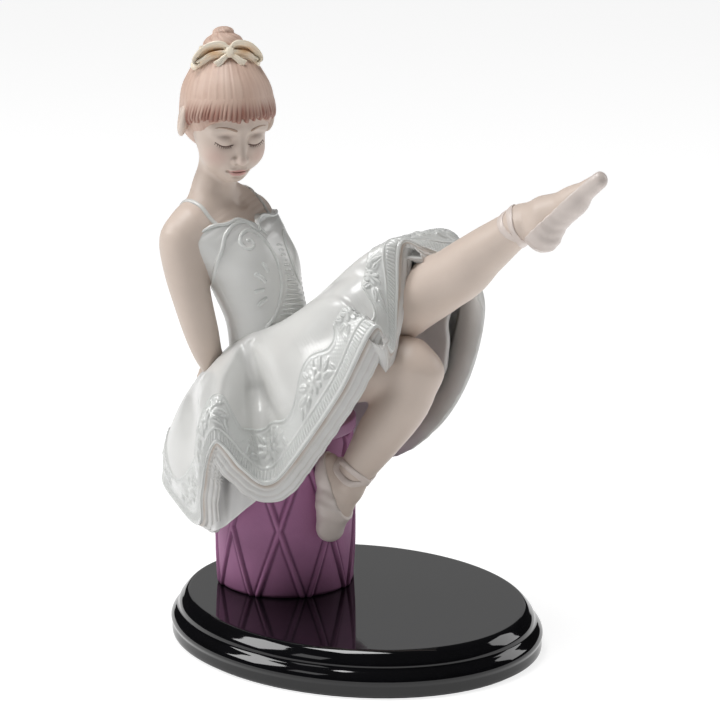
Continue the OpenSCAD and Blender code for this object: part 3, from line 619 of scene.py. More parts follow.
parts, parts2 = [], []
for sd in (-1, 1):
    t = np.linspace(0, 1, 26)
    y = 2.9 + 7.4 * t
    z = -5.0 - 1.25 * np.sin(np.pi * np.clip(t * 0.98, 0, 1)) ** 0.8 + 0.7 * t
    x = face_x(sd * y, z)
    parts.append(sweep(from_head(np.stack([x - 0.05, sd * y, z], -1)), 0.36 * (0.45 + 0.55 * np.sin(np.pi * (0.12 + 0.8 * t))), 8, taper=True))
    for k in range(9):
        u = 0.18 + 0.8 * k / 8
        y0 = 2.9 + 7.4 * u
        z0 = -5.0 - 1.25 * np.sin(np.pi * u * 0.98) ** 0.8 + 0.7 * u
        x0 = face_x([sd * y0], [z0])[0]
        tip = np.array([x0 + 0.75, sd * (y0 + 0.9 * (u - 0.3)), z0 - 0.75])
        pp = np.array([[x0 - 0.1, sd * y0, z0], [x0 + 0.45, sd * (y0 + 0.4 * (u - 0.3)), z0 - 0.5], tip])
        parts.append(sweep(from_head(crom(pp, np.linspace(0, 2, 5))), [0.16, 0.15, 0.13, 0.1, 0.04], 6))
    y = 2.7 + 8.4 * t
    z = 1.4 + 1.15 * np.sin(np.pi * t * 0.85) - 0.5 * t
    x = face_x(sd * y, z)
    parts2.append(sweep(from_head(np.stack([x - 0.02, sd * y, z], -1)), 0.62 * (1.0 - 0.55 * t), 10, flat=0.4, normal=HEAD_R @ np.array([1.0, 0, 0]), taper=True))
X, Q = joined(parts)
make("lashes", X, Q, M_LASH)
X, Q = joined(parts2)
make("brows", X, Q, M_BROW)

# ------------------------------------------------------------------ hair
BUN_R = rot("y", -25)


def hair_shape(q):
    d = ell(q, (-2.0, 0, 5.6), (20.4, 18.5, 18.4))
    d = smin(d, ell(q, (-8.0, 0, -4.5), (13.6, 15.6, 13.0)), 5)
    d = smin(d, ell(q, (-8.0, 0, 18.0), (10.5, 10.5, 7.5)), 7)
    return d


def hair_field(P):
    q = to_head(P)
    d = hair_shape(q)
    hx = 3.4 + 0.8 * np.clip(q[:, 2] + 9, -7, 30)
    d = smax(d, q[:, 0] - hx, 1.6)
    d = smax(d, -(q[:, 2] + 16.5 + 0.35 * (q[:, 0] + 8)), 2.5)
    return d


def combed(X, N, amp):
    """Fine strands that run to the bun."""
    q = to_head(X)
    c = (q - np.array([-10.0, 0, 22.0])) @ BUN_R
    th = np.arctan2(c[:, 1], c[:, 0])
    r = np.hypot(c[:, 0], c[:, 1])
    w = smooth(r, 6, 14)
    g = 0.5 * np.sin(46 * th + 1.5 * np.sin(3 * th)) + 0.32 * np.sin(79 * th + 2 * np.sin(2 * th + 1)) + 0.3 * np.sin(23 * th + 0.12 * c[:, 2])
    return X + N * (amp * w * g)[:, None], g * w


X, Q = nets(hair_field, HEAD_AT + (-28, -26, -26), HEAD_AT + (28, 26, 32), 0.42)
N = unit(gradient(hair_field, X, 0.1))
X, g = combed(X, N, 0.09)
q = to_head(X)
# painted shade: darker in the valleys between combed strands and toward the cap's front edge, under the fringe
shade_and_streaks = 0.16 * smooth(-g, -0.2, 0.9) + 0.3 * smooth(q[:, 0] - (3.4 + 0.8 * (q[:, 2] + 9)), -6, 0)
make("hair_cap", X, Q, M_HAIR, attrs={"shade_and_streaks": shade_and_streaks}, cad=("hair_cap",))

# fringe: locks combed forward over the forehead
nc, nr = 560, 70
th = np.radians(np.linspace(-82, 82, nc))
v = np.linspace(0, 1, nr)
TH, VV = np.meshgrid(th, v)
rng = np.random.default_rng(5)
lock = np.cumsum(rng.uniform(0.75, 1.3, 34))
lock = (lock - lock[0]) / (lock[-1] - lock[0]) * 2 - 1
pos = np.degrees(TH) / 82
li = np.clip(np.searchsorted(lock, pos[0]) - 1, 0, len(lock) - 2)
lf = (pos[0] - lock[li]) / (lock[li + 1] - lock[li])
prof = np.sqrt(np.clip(1 - (2 * lf - 1) ** 2, 0, 1))
cut = rng.uniform(-1.1, 1.1, len(lock))[li]
side = np.abs(pos[0])
zb = 6.4 - 9.0 * side ** 2.4 + 0.9 * cut + 0.5 * (1 - prof)
zt = 17.5 - 5.0 * side ** 2
Z = zt[None] + (zb - zt)[None] * VV
ks = np.sqrt(np.clip(1 - ((Z - 5.6) / 18.4) ** 2, 0.05, 1))
lift = -0.5 + 0.9 * smooth(VV, 0, 0.5) + 0.5 * smooth(VV, 0.45, 0.9) - 0.5 * smooth(VV, 0.88, 1.0)
depth = 0.75 * smooth(VV, 0.3, 0.8)
fine = 0.5 + 0.5 * np.sin(5.5 * 2 * np.pi * pos[0] * 17 / 5.5 + 2 * np.sin(9 * pos[0]))
R = lift + depth * (0.85 * prof[None] - 0.25 + 0.10 * (fine[None] - 0.5))
def ring_at(R, Z, TH):
    kk = np.sqrt(np.clip(1 - ((Z - 5.6) / 18.4) ** 2, 0.05, 1))
    return np.stack([-2.0 + (20.4 * kk + R) * np.cos(TH), (18.5 * kk + R) * np.sin(TH), Z], -1)
outer = ring_at(R, Z, TH)
inner = ring_at(R * 0 - 1.6, Z + 0.5 * VV, TH)[::-6]
edge = [ring_at(R[-1:] * (1 - e) + (-1.6) * e, Z[-1:] - 0.35 * math.sin(math.pi * e) * 0.6, TH[-1:]) for e in (0.3, 0.6, 0.85)]
G = np.concatenate([outer] + edge + [inner, outer[:1] - [0.2, 0, 0.2]])
Xf = from_head(G.reshape(-1, 3))
Qf = grid_quads(len(G), nc, wrap_r=True, wrap_c=False)
nG = len(G)
ri = np.arange(0, nG, 2)
for j, mid in ((0, nG * nc), (nc - 1, nG * nc + 1)):
    side_ = [ri * nc + j, (ri + 1) * nc + j, ((ri + 2) % nG) * nc + j]
    Qf = np.concatenate([Qf, np.stack([np.full(len(ri), mid)] + (side_ if j == 0 else side_[::-1]), -1)])
Xf = np.concatenate([Xf, Xf[np.arange(nG) * nc].mean(0)[None], Xf[np.arange(nG) * nc + nc - 1].mean(0)[None]])
# Fringe colour: painted shade in the gaps between locks and darker toward the lock ends, with random streaks mixed in;
# the underside and inner face take a near-full painted shade (0.95)
tv = np.zeros(G.shape[:2])
streak = 0.5 + 0.5 * wave_noise(np.stack([60 * pos, VV * 3, 0 * VV], -1), 11, 9, 3)
tv[:nr] = smooth(VV, 0.15, 0.85) * (0.35 + 0.4 * (1 - prof[None] ** 2) + 0.6 * streak)
tv[nr:] = 0.95
make("hair_fringe", Xf, Qf, M_HAIR, attrs={"shade_and_streaks": np.append(np.clip(tv, 0, 1).ravel(), [0.5, 0.5])}, cad=("hair_fringe",))

# bun: two coiled tiers
BUN = np.array([-10.0, 0, 21.5])
BUN_R = rot("y", -25)
prof_b = np.array([[7.5, -4], [8.8, -2.5], [9.0, 0.5], [8.8, 3.0], [8.0, 5.6], [6.5, 7.6], [4.9, 8.6], [4.3, 9.1], [4.1, 10.0], [3.3, 11.0], [1.8, 11.7], [0.05, 11.9]])
pr = crom(prof_b, np.linspace(0, len(prof_b) - 1, 120))
ph = np.linspace(0, 2 * np.pi, 360, endpoint=False)
PR, PH = pr[:, 0][:, None], ph[None]
tw = PH * 1.0 + 0.16 * pr[:, 1][:, None]
gb = 0.5 * np.sin(11 * tw) + 0.35 * np.sin(19 * tw + 1) + 0.2 * np.sin(37 * tw)
amp = 0.28 * smooth(pr[:, 0], 1.0, 5)[:, None]
rr = PR + amp * gb
G = np.stack([rr * np.cos(PH), rr * np.sin(PH), np.broadcast_to(pr[:, 1][:, None], rr.shape)], -1) @ BUN_R.T + BUN
Xb = from_head(G.reshape(-1, 3))
Qb = grid_quads(len(pr), 360)
capi = np.arange(0, 360, 2)
Qb = np.concatenate([Qb, np.stack([np.full(180, len(Xb)), (capi + 2) % 360, capi + 1, capi], -1)])
tip = (len(pr) - 1) * 360
Qb = np.concatenate([Qb, np.stack([np.full(180, len(Xb) + 1), tip + capi, tip + capi + 1, tip + (capi + 2) % 360], -1)])
Xb = np.concatenate([Xb, from_head((BUN_R @ [0, 0, -4] + BUN)[None]), from_head((BUN_R @ [0, 0, 11.92] + BUN)[None])])
# painted shade in the grooves between the bun's coils
tb = np.concatenate([(0.28 * smooth(-gb, -0.3, 0.8) * np.ones_like(rr)).ravel(), [0, 0]])
make("hair_bun", Xb, Qb, M_HAIR, attrs={"shade_and_streaks": tb}, cad=("hair_bun",))

# bow: band round the bun, two loops, knot and short tails
def ribbon(path, width, wdir, thick=0.8, n=4, waves=0.0):
    """Flat strip with rounded edges along path; wdir is the direction of its width."""
    path = np.asarray(path, float)
    m = len(path)
    T = unit(np.gradient(path, axis=0))
    W = np.asarray(wdir, float) * np.ones((m, 1))
    W = unit(W - (W * T).sum(1, keepdims=True) * T)
    N = np.cross(T, W)
    width = np.ones(m) * width
    u = np.linspace(-1, 1, 14)
    top = np.stack([u, 0.5 * np.sqrt(np.clip(1 - u ** 6, 0, 1))], -1)
    bot = np.stack([u[::-1][1:-1], -0.5 * np.sqrt(np.clip(1 - u[::-1][1:-1] ** 6, 0, 1))], -1)
    C = np.concatenate([top, bot])
    s = np.linspace(0, 1, m)
    crease = waves * np.sin(C[:, 0][None] * 7 + 3 * s[:, None]) * (1 - C[:, 0][None] ** 2)
    X = path[:, None] + (width[:, None] * C[:, 0][None])[..., None] * W[:, None] + (thick * C[:, 1][None] + crease)[..., None] * N[:, None]
    nC = len(C)
    X = X.reshape(-1, 3)
    Q = grid_quads(m, nC)
    a = len(X)
    X = np.concatenate([X, path[:1], path[-1:]])
    k = np.arange(0, nC, 2)
    c0 = np.stack([np.full(len(k), a), (k + 2) % nC, k + 1, k], -1)
    c1 = np.stack([np.full(len(k), a + 1), (m - 1) * nC + k, (m - 1) * nC + k + 1, (m - 1) * nC + (k + 2) % nC], -1)
    return X, np.concatenate([Q, c0, c1])


parts = []
q = np.linspace(0, 2 * np.pi, 90, endpoint=False)
band = np.stack([9.6 * np.cos(q), 9.6 * np.sin(q), 0.3 + 0.5 * np.sin(2 * q)], -1)
Xr, Qr = sweep(band, 2.2, 20, flat=0.32, normal=np.stack([np.cos(q), np.sin(q), 0 * q], -1), closed=True)
parts.append((Xr, Qr))
for sd in (-1, 1):
    k = 0.92 if sd < 0 else 0.85
    pth = np.array([[11.2, -0.6, 0.9], [11.2, -3.0, 2.7], [10.6, -6.4, 2.6], [9.6, -9.8, 1.3], [8.2, -12.8, -1.2], [7.2, -14.4, -3.6],
                    [7.0, -13.6, -4.9], [7.8, -11.2, -3.9], [9.4, -7.6, -1.7], [10.8, -3.4, -0.9], [11.4, -0.6, -0.6]]) * [1, -sd * k, 1]
    pp = crom(pth, np.linspace(0, 10, 80))
    t = np.linspace(0, 1, 80)
    w = 1.3 + 1.9 * np.sin(np.pi * t) ** 0.5
    parts.append(ribbon(pp, w, (1, 0.0, 0.9), 1.1, waves=0.2))
    tl = np.array([[11.8, 0.4, -0.8], [12.4, 2.2, -2.2], [12.6, 4.2, -3.9], [12.2, 5.8, -5.0]]) * [1, sd, 1]
    parts.append(ribbon(crom(tl, np.linspace(0, 3, 24)), np.linspace(0.9, 1.7, 24), (0.2, 0.6 * sd, 0.8), 0.7, waves=0.12))
u = np.linspace(0.001, np.pi - 0.001, 30)
w = np.linspace(0, 2 * np.pi, 40, endpoint=False)
U, W = np.meshgrid(u, w, indexing="ij")
K = np.stack([1.9 * np.sin(U) * np.cos(W), 2.1 * np.sin(U) * np.sin(W) * (1 - 0.12 * np.cos(W * 6)), 2.5 * np.cos(U)], -1) + [11.6, 0, 0.2]
ki = np.arange(0, 40, 2)
Qk = np.concatenate([grid_quads(30, 40), np.stack([np.full(20, 1200), (ki + 2) % 40, ki + 1, ki], -1),
                     np.stack([np.full(20, 1201), 1160 + ki, 1160 + ki + 1, 1160 + (ki + 2) % 40], -1)])
parts.append((np.concatenate([K.reshape(-1, 3), [[11.6, 0, 2.7], [11.6, 0, -2.3]]]), Qk))
Xw, Qw = joined(parts)
tb = smooth(np.sqrt(((Xw - [11.5, 0, 0]) ** 2).sum(1)), 2, 16) * 0.0
inn = np.zeros(len(Xw))
rb = np.hypot(Xw[:, 0], Xw[:, 1])
# painted shade inside the two loops, beside the knot
inn = 0.9 * ridge(np.abs(Xw[:, 1]) - 6.5, 3.6) * ridge(Xw[:, 2] - 0.3, 1.7) * (Xw[:, 0] < 12.6)
Xw[:, 2] += 1.6
Xw[:, 0] += 0.4
Xw = Xw @ rot("z", -13).T
make("bow", from_head(Xw @ BUN_R.T + BUN), Qw, M_BOW, attrs={"shade_and_streaks": inn}, cad=("bow",))

# ------------------------------------------------------------------ legs and slippers
THIGH_L = [[-34, 11, 104, 13, 13, 13], [-8, 11, 122, 13, 13, 13], [20, 11, 142, 11.5, 11.5, 12], [34, 11, 152, 11.5, 11, 12],
           [47, 11, 162, 10.4, 10, 11], [58, 11, 170.5, 9.2, 8.8, 9.4], [66, 11, 176.5, 7.8, 7.8, 8], [73, 11, 182, 7, 7, 7.2]]
THIGH_R = [[-34, -11, 104, 13, 13, 13], [-4, -4, 112, 13, 13, 13], [16, 1, 118, 12, 12, 12], [26, 4, 118.5, 11, 11, 11]]
SHIN_R = [[27.5, 4, 117.5, 10.6, 10.6, 10.6], [24, 1, 104, 10.6, 10, 12], [16, -3, 90, 9.5, 8.8, 12], [9, -6, 78.5, 7.8, 7.2, 8.4],
          [4.5, -7.5, 71, 6.8, 6.6, 6.8], [2, -8.5, 66, 6.4, 6.2, 6.2]]


def foot_l(P):
    d = ell(P, (84.2, 9.6, 180.2), (6.6, 6.6, 7.4), rot("y", -20))
    d = smin(d, rcone(P, (76, 11, 184), (84, 10.6, 187.5), 6.9, 6.6), 4)
    d = smin(d, rcone(P, (83.5, 10, 182.4), (97, 11, 193.6), 6.4, 5.2), 4)
    d = smin(d, rcone(P, (84, 10.6, 189), (98, 11, 195.8), 5.4, 4.2), 3)
    d = smin(d, rcone(P, (96, 11, 194.4), (108.4, 11, 203.8), 4.7, 3.2), 3)
    return d


def foot_r(P):
    d = ell(P, (-4.2, -11.6, 73.5), (4.8, 5.6, 7.2))
    d = smin(d, rcone(P, (-3.0, -11.0, 70), (-2.4, -10.6, 60), 6.2, 6.6), 3)
    d = smin(d, rcone(P, (2.5, -8.6, 66), (-1.2, -10.0, 58), 6.2, 6.2), 4)
    d = smin(d, rcone(P, (-2.4, -10.6, 60), (-5.6, -9.6, 48), 6.6, 5.4), 3)
    return d


def leg_l_field(P):
    d = tube(P, THIGH_L, (-0.58, 0, 0.81))
    d = smin(d, ell(P, (29.5, 11, 155.5), (7, 6.2, 5.2), rot("y", -36)), 5)
    d = smin(d, ell(P, (46, 9.5, 156), (12, 7.5, 7), rot("y", -36)), 5)
    d = smin(d, foot_l(P) + 0.4, 4)
    d = smin(d, ell(P, (75.5, 16.6, 183.0), (2.2, 1.6, 2.4)), 2.5)
    return smin(d, ell(P, (75.5, 5.2, 182.5), (2.2, 1.6, 2.4)), 2.5)


def leg_r_field(P):
    d = tube(P, THIGH_R, (0.3, 0, 0.95))
    d = smin(d, tube(P, SHIN_R, (0.8, 0, 0.6)), 4)
    d = smin(d, foot_r(P) + 0.4, 3.5)
    d = smin(d, ell(P, (31.0, 4.6, 117.5), (6.5, 6.5, 7.5)), 5)
    return smin(d, ell(P, (6.0, -12.8, 69.5), (1.8, 1.6, 2.0)), 2.5)


X, Q = nets(leg_l_field, (-48, -6, 86), (116, 28, 214), 0.7)
make("leg_left", X, Q, M_SKIN, cad=("leg_left",))
X, Q = nets(leg_r_field, (-48, -28, 40), (44, 22, 134), 0.65)
make("leg_right", X, Q, M_SKIN, cad=("leg_right",))


def slip_l(P):
    d = foot_l(P) - 0.35
    # opening: slants from the heel to the instep
    cut = (P - np.array([82.6, 11, 182.2])) @ unit(np.array([-0.70, 0, 0.714]))
    cut = cut + 0.010 * (P[:, 1] - 11) ** 2
    return smax(d, cut, 0.5)


def slip_r(P):
    d = foot_r(P) - 0.35
    cut = (P - np.array([1.6, -8.0, 60.0])) @ unit(np.array([0.80, 0.20, 0.30]))
    return smax(d, cut, 0.5)


X, Q = nets(slip_l, (70, -2, 168), (116, 24, 212), 0.36)
N = unit(gradient(slip_l, X, 0.1))
w = ridge(X[:, 0] - 88, 9)
cr = np.sin((X @ unit(np.array([0.75, 0.1, 0.9]))) * 1.5 + 1.2 * np.sin(X[:, 1] * 0.5)) * 0.12 * w
X = X + N * cr[:, None]
make("slipper_left", X, Q, M_SLIP, cad=("slipper_left",))
X, Q = nets(slip_r, (-18, -24, 36), (14, 4, 90), 0.36)
N = unit(gradient(slip_r, X, 0.1))
w = ridge(X[:, 2] - 60, 10)
cr = np.sin(X[:, 2] * 1.3 + 1.2 * np.sin(X[:, 0] * 0.5)) * 0.12 * w
X = X + N * cr[:, None]
make("slipper_right", X, Q, M_SLIP, cad=("slipper_right",))


def on_surface(f, P, off):
    for _ in range(8):
        g = gradient(f, P, 0.1)
        P = P - (f(P) - off)[:, None] * g / np.maximum((g * g).sum(1, keepdims=True), 0.05)
    return P, unit(gradient(f, P, 0.1))


def wound(f, c, axis, ref, rad, tilt, wide=1.5, name=None):
    axis = unit(np.array(axis, float))
    ref = np.array(ref, float)
    u = unit(ref - (ref @ axis) * axis)
    w = np.cross(axis, u)
    parts = []
    for tl in tilt:
        q = np.linspace(0, 2 * np.pi, 120, endpoint=False)
        P = np.array(c, float) + rad * (np.cos(q)[:, None] * u + np.sin(q)[:, None] * w) + (tl[0] * np.sin(q + tl[1]))[:, None] * axis + tl[2] * axis
        P, N = on_surface(f, P, 0.12)
        parts.append(sweep(P, wide, 14, flat=0.28, normal=N, closed=True))
    return joined(parts)


X, Q = wound(leg_l_field, (71.5, 11, 180.6), (8, 0, 6), (-0.6, 0, 0.8), 8, [(3.4, 0.6, 0.0), (3.2, 0.6 + math.pi, 1.0)])
make("ankle_ribbon_left", X, Q, M_RIB, cad=("ankle_ribbon_left",))
X, Q = wound(leg_r_field, (6.0, -7.0, 73.5), (-5, -2, -9), (0.8, 0, 0.4), 8, [(3.0, 0.3, 0.0), (2.8, 0.3 + math.pi, 0.6)], wide=1.4)
make("ankle_ribbon_right", X, Q, M_RIB, cad=("ankle_ribbon_right",))

# ------------------------------------------------------------------ dress top
def neckline(P):
    """Positive above the bodice's top edge."""
    phi = np.arctan2(P[:, 1] + 10.5, P[:, 0] + 56)         # 0 = front
    front = smooth(np.cos(phi), -0.45, 0.35)
    z = 158.5 + 12.0 * front + 1.4 * np.exp(-((np.abs(phi + 0.15) - 0.5) / 0.26) ** 2) - 3.2 * np.exp(-((phi + 0.12) / 0.13) ** 2)
    return P[:, 2] - z


def bodice_field(P):
    d = trunk(P) - 1.25
    d = smax(d, neckline(P), 0.8)
    d = smax(d, 112 - P[:, 2], 0.5)
    arms = smin(tube(P, UP_R, (1, 0, 0)), tube(P, UP_L, (1, 0, 0)), 1)
    return smax(d, -(arms - 0.15), 0.8)


X, Q = nets(bodice_field, (-76, -38, 108), (-22, 18, 182), 0.42)
make("bodice", X, Q, M_DRESS, cad=("bodice",))

# raised scrolls laid on the bodice
def front_point(phi, z, off=0.1):
    """Point of the bodice at angle phi (0 = +X) and height z."""
    phi, z = np.atleast_1d(phi), np.atleast_1d(z)
    c = crom(np.array(BODY, float), np.interp(z, [b[2] for b in BODY], np.arange(len(BODY))))
    P = np.stack([c[:, 0] + 17 * np.cos(phi), c[:, 1] + 21 * np.sin(phi), z], -1)
    lo, hi = np.zeros(len(P)), np.ones(len(P)) * 1.6
    base = np.stack([c[:, 0], c[:, 1], z], -1)
    f = lambda P: trunk(P) - 1.25
    for _ in range(22):
        m = (lo + hi) / 2
        v = f(base + m[:, None] * (P - base))
        lo, hi = np.where(v < off, m, lo), np.where(v < off, hi, m)
    R = base + lo[:, None] * (P - base)
    return R, unit(gradient(f, R, 0.2))


parts = []
def relief(pts, r, flat=0.6, n=10, m=6):
    pts = np.asarray(pts, float)
    L = crom(pts, np.linspace(0, len(pts) - 1, (len(pts) - 1) * m + 1))
    R, N = front_point(np.radians(L[:, 0]), L[:, 1], 0.0)
    parts.append(sweep(R, r, n, flat=flat, normal=N, taper=True))


def seen(pts, r, flat=0.6, n=10, m=8):
    """A raised line given in the front view (right, up) and laid on the bodice."""
    L = crom(np.array(pts, float), np.linspace(0, len(pts) - 1, (len(pts) - 1) * m + 1))
    o = np.array([1.4, 1.1, 117.2]) + L[:, :1] * V_R + L[:, 1:] * V_U + V_N * 80
    t = np.zeros(len(o))
    for _ in range(60):
        P = o - t[:, None] * V_N
        t = t + np.maximum(trunk(P) - 1.25, 0.0) * 0.9
    P = o - t[:, None] * V_N
    ok = trunk(P) - 1.25 < 0.3
    if ok.sum() < 4:
        return
    P = P[ok]
    N = unit(gradient(lambda p: trunk(p), P, 0.2))
    parts.append(sweep(P, r, n, flat=flat, normal=N, taper=True))


V_R = np.array([math.cos(math.radians(38.5)), math.sin(math.radians(38.5)), 0.0])
V_N = np.array([math.sin(math.radians(38.5)) * math.cos(math.radians(15.5)), -math.cos(math.radians(38.5)) * math.cos(math.radians(15.5)), math.sin(math.radians(15.5))])
V_U = np.cross(V_N, V_R)
seen([(-60, 28), (-58, 36), (-55, 44), (-53.5, 50), (-50, 54.5), (-46, 55.5), (-41, 53.5), (-37, 50)], 0.9)
seen([(-42, 46), (-43.5, 44.5), (-46, 45), (-47.8, 47.5), (-47, 50.5), (-44, 52), (-39.5, 49.5), (-36, 45), (-33, 39), (-31.5, 32), (-32, 25), (-34, 18), (-38, 12), (-41, 7)], 0.85)
seen([(-42, 46), (-43.6, 48.2), (-45.2, 47.6)], 0.7)
for (p0, p1) in (((-39, 39), (-36.5, 35)), ((-42, 34.5), (-37.5, 31)), ((-42.5, 27), (-38, 28)), ((-41, 21.5), (-37, 25))):
    seen([p0, ((p0[0] + p1[0]) / 2, (p0[1] + p1[1]) / 2 + 0.3), p1], 0.85, m=6)
seen([(-31, 53), (-30.4, 48), (-28, 41), (-25, 33), (-21, 25)], 0.75)
for k in range(15):
    b = 46 - 2.0 * k
    a0 = np.interp(b, [12, 20, 26, 33, 40, 46], [-37, -32.5, -31, -30.5, -32, -34.5])
    a1 = np.interp(b, [12, 20, 26, 33, 40, 46], [-27, -22, -22, -25.5, -28.5, -30.5])
    seen([(a0 + 1, b), ((a0 + a1) / 2, b + 0.5), (a1 - 0.6, b + 0.2)], 0.42, n=6, m=4)
for k in range(16):
    a0 = 31 + 1.45 * k
    z0 = 128 + 1.9 * k
    relief([(-9 + (a0 + 8), z0), (-9 + (a0 + 14), z0 + 0.6)], 0.42, n=6, m=4)
relief([(40, 119), (62, 132), (66, 148), (58, 162)], 0.6)
Xs, Qs = joined(parts)
make("bodice_scroll", Xs, Qs, M_LACE, cad=("bodice_scroll",))

# neckline cord
ph = np.radians(np.linspace(-78, 62, 160))
zz = np.full(160, 160.0)
for _ in range(30):
    R, N = front_point(ph, zz, 0.0)
    zz = zz - neckline(R) * 0.7
R, N = front_point(ph, zz - 0.3, 0.1)
Xn, Qn = sweep(R, 0.75, 12, flat=0.8, normal=N, taper=True)
make("neckline_roll", Xn, Qn, M_LACE)


def strap(pts, name):
    P = crom(np.array(pts, float), np.linspace(0, len(pts) - 1, 90))
    P, N = on_surface(skin_field, P, 0.05)
    X, Q = sweep(P, 0.95, 12, flat=0.55, normal=N, taper=True)
    make(name, X, Q, M_DRESS, cad=(name,))


strap([(-48, -24, 167), (-53, -26, 172), (-58, -27, 176), (-64, -27, 177), (-70, -26, 172), (-73, -23, 164), (-72, -20, 157)], "strap_right")
strap([(-42, -2, 165), (-46, 0, 170), (-52, 1, 174), (-59, 0, 176), (-66, -1, 172), (-70, -3, 164), (-69, -4, 157)], "strap_left")

# ------------------------------------------------------------------ skirt
CLOTH = [
    [0, [2, -6, 157], [16, -3, 167], [22, 1, 168]],
    [14, [0, 5, 159], [17, 10, 168], [26, 11, 165]],
    [30, [1, 18, 159], [19, 25, 168], [28, 23, 160]],
    [50, [-2, 32, 155], [19, 39, 163], [28, 37, 154]],
    [72, [-22, 32, 137], [8, 44, 142], [34, 40, 136]],
    [95, [-34, 38, 124], [-8, 52, 112], [24, 42, 103]],
    [118, [-46, 38, 115], [-30, 54, 92], [6, 38, 77]],
    [142, [-60, 34, 108], [-52, 52, 84], [-36, 50, 62]],
    [166, [-69, 22, 104], [-73, 38, 80], [-66, 44, 58]],
    [190, [-74, 6, 102], [-85, 16, 80], [-86, 20, 60]],
    [212, [-73, -9, 101], [-86, -9, 82], [-89, -8, 62]],
    [232, [-67, -22, 101], [-75, -27, 81], [-78, -29, 60]],
    [246, [-57, -32, 104], [-64, -41, 79], [-62, -39, 55]],
    [256, [-48, -39, 108], [-49, -49, 77], [-44, -46, 51]],
    [264, [-40, -42, 112], [-35, -56, 92], [-33, -56, 70]],
    [273, [-32, -43, 115], [-24, -59, 105], [-22, -61, 93]],
    [284, [-30, -34, 111], [-21, -46, 97], [-17, -51, 81]],
    [294, [-27, -28, 109], [-17, -38, 91], [-10, -43, 74]],
    [304, [-19, -28, 117], [-6, -37, 103], [3, -40, 88]],
    [316, [-7, -25, 133], [7, -30, 124], [17, -32, 113]],
    [328, [1, -21, 145], [17, -23, 143], [27, -22, 140]],
    [338, [3, -17, 149], [21, -17, 141], [28, -12, 128]],
    [349, [2, -11, 153], [18, -10, 154], [25, -5, 147]]]
UNDER = [
    [0, [0, -2, 149], [12, 2, 156], [17, 4, 157]],
    [30, [-1, 15, 150], [13, 20, 156], [20, 20, 150]],
    [60, [-10, 26, 142], [10, 34, 144], [22, 33, 138]],
    [95, [-34, 31, 119], [-12, 43, 107], [14, 36, 100]],
    [130, [-52, 30, 108], [-42, 43, 88], [-26, 42, 74]],
    [166, [-64, 17, 101], [-66, 30, 80], [-60, 36, 68]],
    [200, [-68, 0, 99], [-77, 2, 80], [-78, 2, 68]],
    [232, [-61, -19, 98], [-67, -24, 79], [-68, -25, 62]],
    [252, [-50, -30, 100], [-49, -38, 78], [-47, -40, 51]],
    [268, [-38, -33, 104], [-36, -43, 80], [-34, -46, 51]],
    [288, [-26, -26, 104], [-21, -36, 88], [-17, -40, 67]],
    [308, [-14, -23, 114], [-3, -30, 102], [5, -33, 92]],
    [328, [0, -15, 132], [12, -17, 124], [18, -17, 117]],
    [344, [3, -10, 146], [14, -9, 139], [20, -6, 133]]]


def waist(a, rx=15, ry=19, rz=8.7, dz=0.0):
    a = math.radians(a)
    return [-43.5 + rx * math.cos(a), -2.5 + ry * math.sin(a), 122.5 + rz * math.cos(a) + dz]


CL = np.array([[waist(c[0]), c[1], c[2], c[3]] for c in CLOTH], float)
UN = np.array([[waist(c[0], 11.6, 15.6, 6.7, -5), c[1], c[2], c[3]] for c in UNDER], float)


def cloth_at(U, V, C=CL):
    """Rows V (0 waist, 3 hem) by columns U (meridian number)."""
    M = crom(C, U, True)
    return crom(M.transpose(1, 0, 2), V)


def grid_normals(G):
    dK = np.roll(G, -1, 1) - np.roll(G, 1, 1)
    dV = np.gradient(G, axis=0)
    return unit(np.cross(dV, dK))


def eased(O, m):
    for _ in range(m):
        O = (np.roll(O, 1, -2) + 2 * O + np.roll(O, -1, -2)) / 4
    return O


def folds(U, V):
    """Small soft folds that the four-point meridians do not carry."""
    v = V[:, None] / 3
    u = U[None]
    f = 0.55 * np.sin(2 * np.pi * u * 1.0 / 2.3 + 1.0) + 0.4 * np.sin(2 * np.pi * u / 1.45 + 2.0 + 1.5 * v)
    return f * smooth(v, 0.12, 0.5) * (1 - 0.55 * smooth(v, 0.75, 1.0))


def columns(n, near=None):
    """Column parameters, closer together over the meridians in near."""
    t = np.linspace(0, 23, 4001)
    w = np.ones_like(t)
    if near is not None:
        for a, b, k in near:
            w += k * smooth(t, a - 0.7, a + 0.7) * (1 - smooth(t, b - 0.7, b + 0.7))
    c = np.concatenate([[0], np.cumsum((w[1:] + w[:-1]) / 2)])
    return np.interp(np.arange(n) / n * c[-1], c, t)


VIEW_R = np.array([math.cos(math.radians(38.5)), math.sin(math.radians(38.5)), 0.0])
VIEW_N = np.array([math.sin(math.radians(38.5)) * math.cos(math.radians(15.5)), -math.cos(math.radians(38.5)) * math.cos(math.radians(15.5)), math.sin(math.radians(15.5))])
VIEW_U = np.cross(VIEW_N, VIEW_R)
# ridges and valleys on the near side: width, height, then points (right, up) from the middle
PLEATS = [
    (4.2, 1.5, [(-43, 7), (-39, 0), (-35, -9), (-31, -19)]),
    (2.6, -1.3, [(-47, 4), (-43, -6), (-39, -15), (-33, -25)]),
    (3.4, -2.2, [(-42, -12), (-40, -24), (-38, -36), (-36, -44)]),
    (4.0, 1.2, [(-57, -4), (-55, -14), (-50, -26), (-46, -36)]),
    (3.2, -1.4, [(-68, -10), (-67, -24), (-68, -40), (-68, -48)]),
    (3.6, 1.2, [(-63, -8), (-62, -20), (-62, -32), (-64, -44)]),
    (5.0, -1.0, [(-24, 4), (-16, 8), (-8, 14), (2, 22)])]


def view_plane(P):
    q = P - np.array([1.4, 1.1, 117.2])
    return q @ VIEW_R, q @ VIEW_U


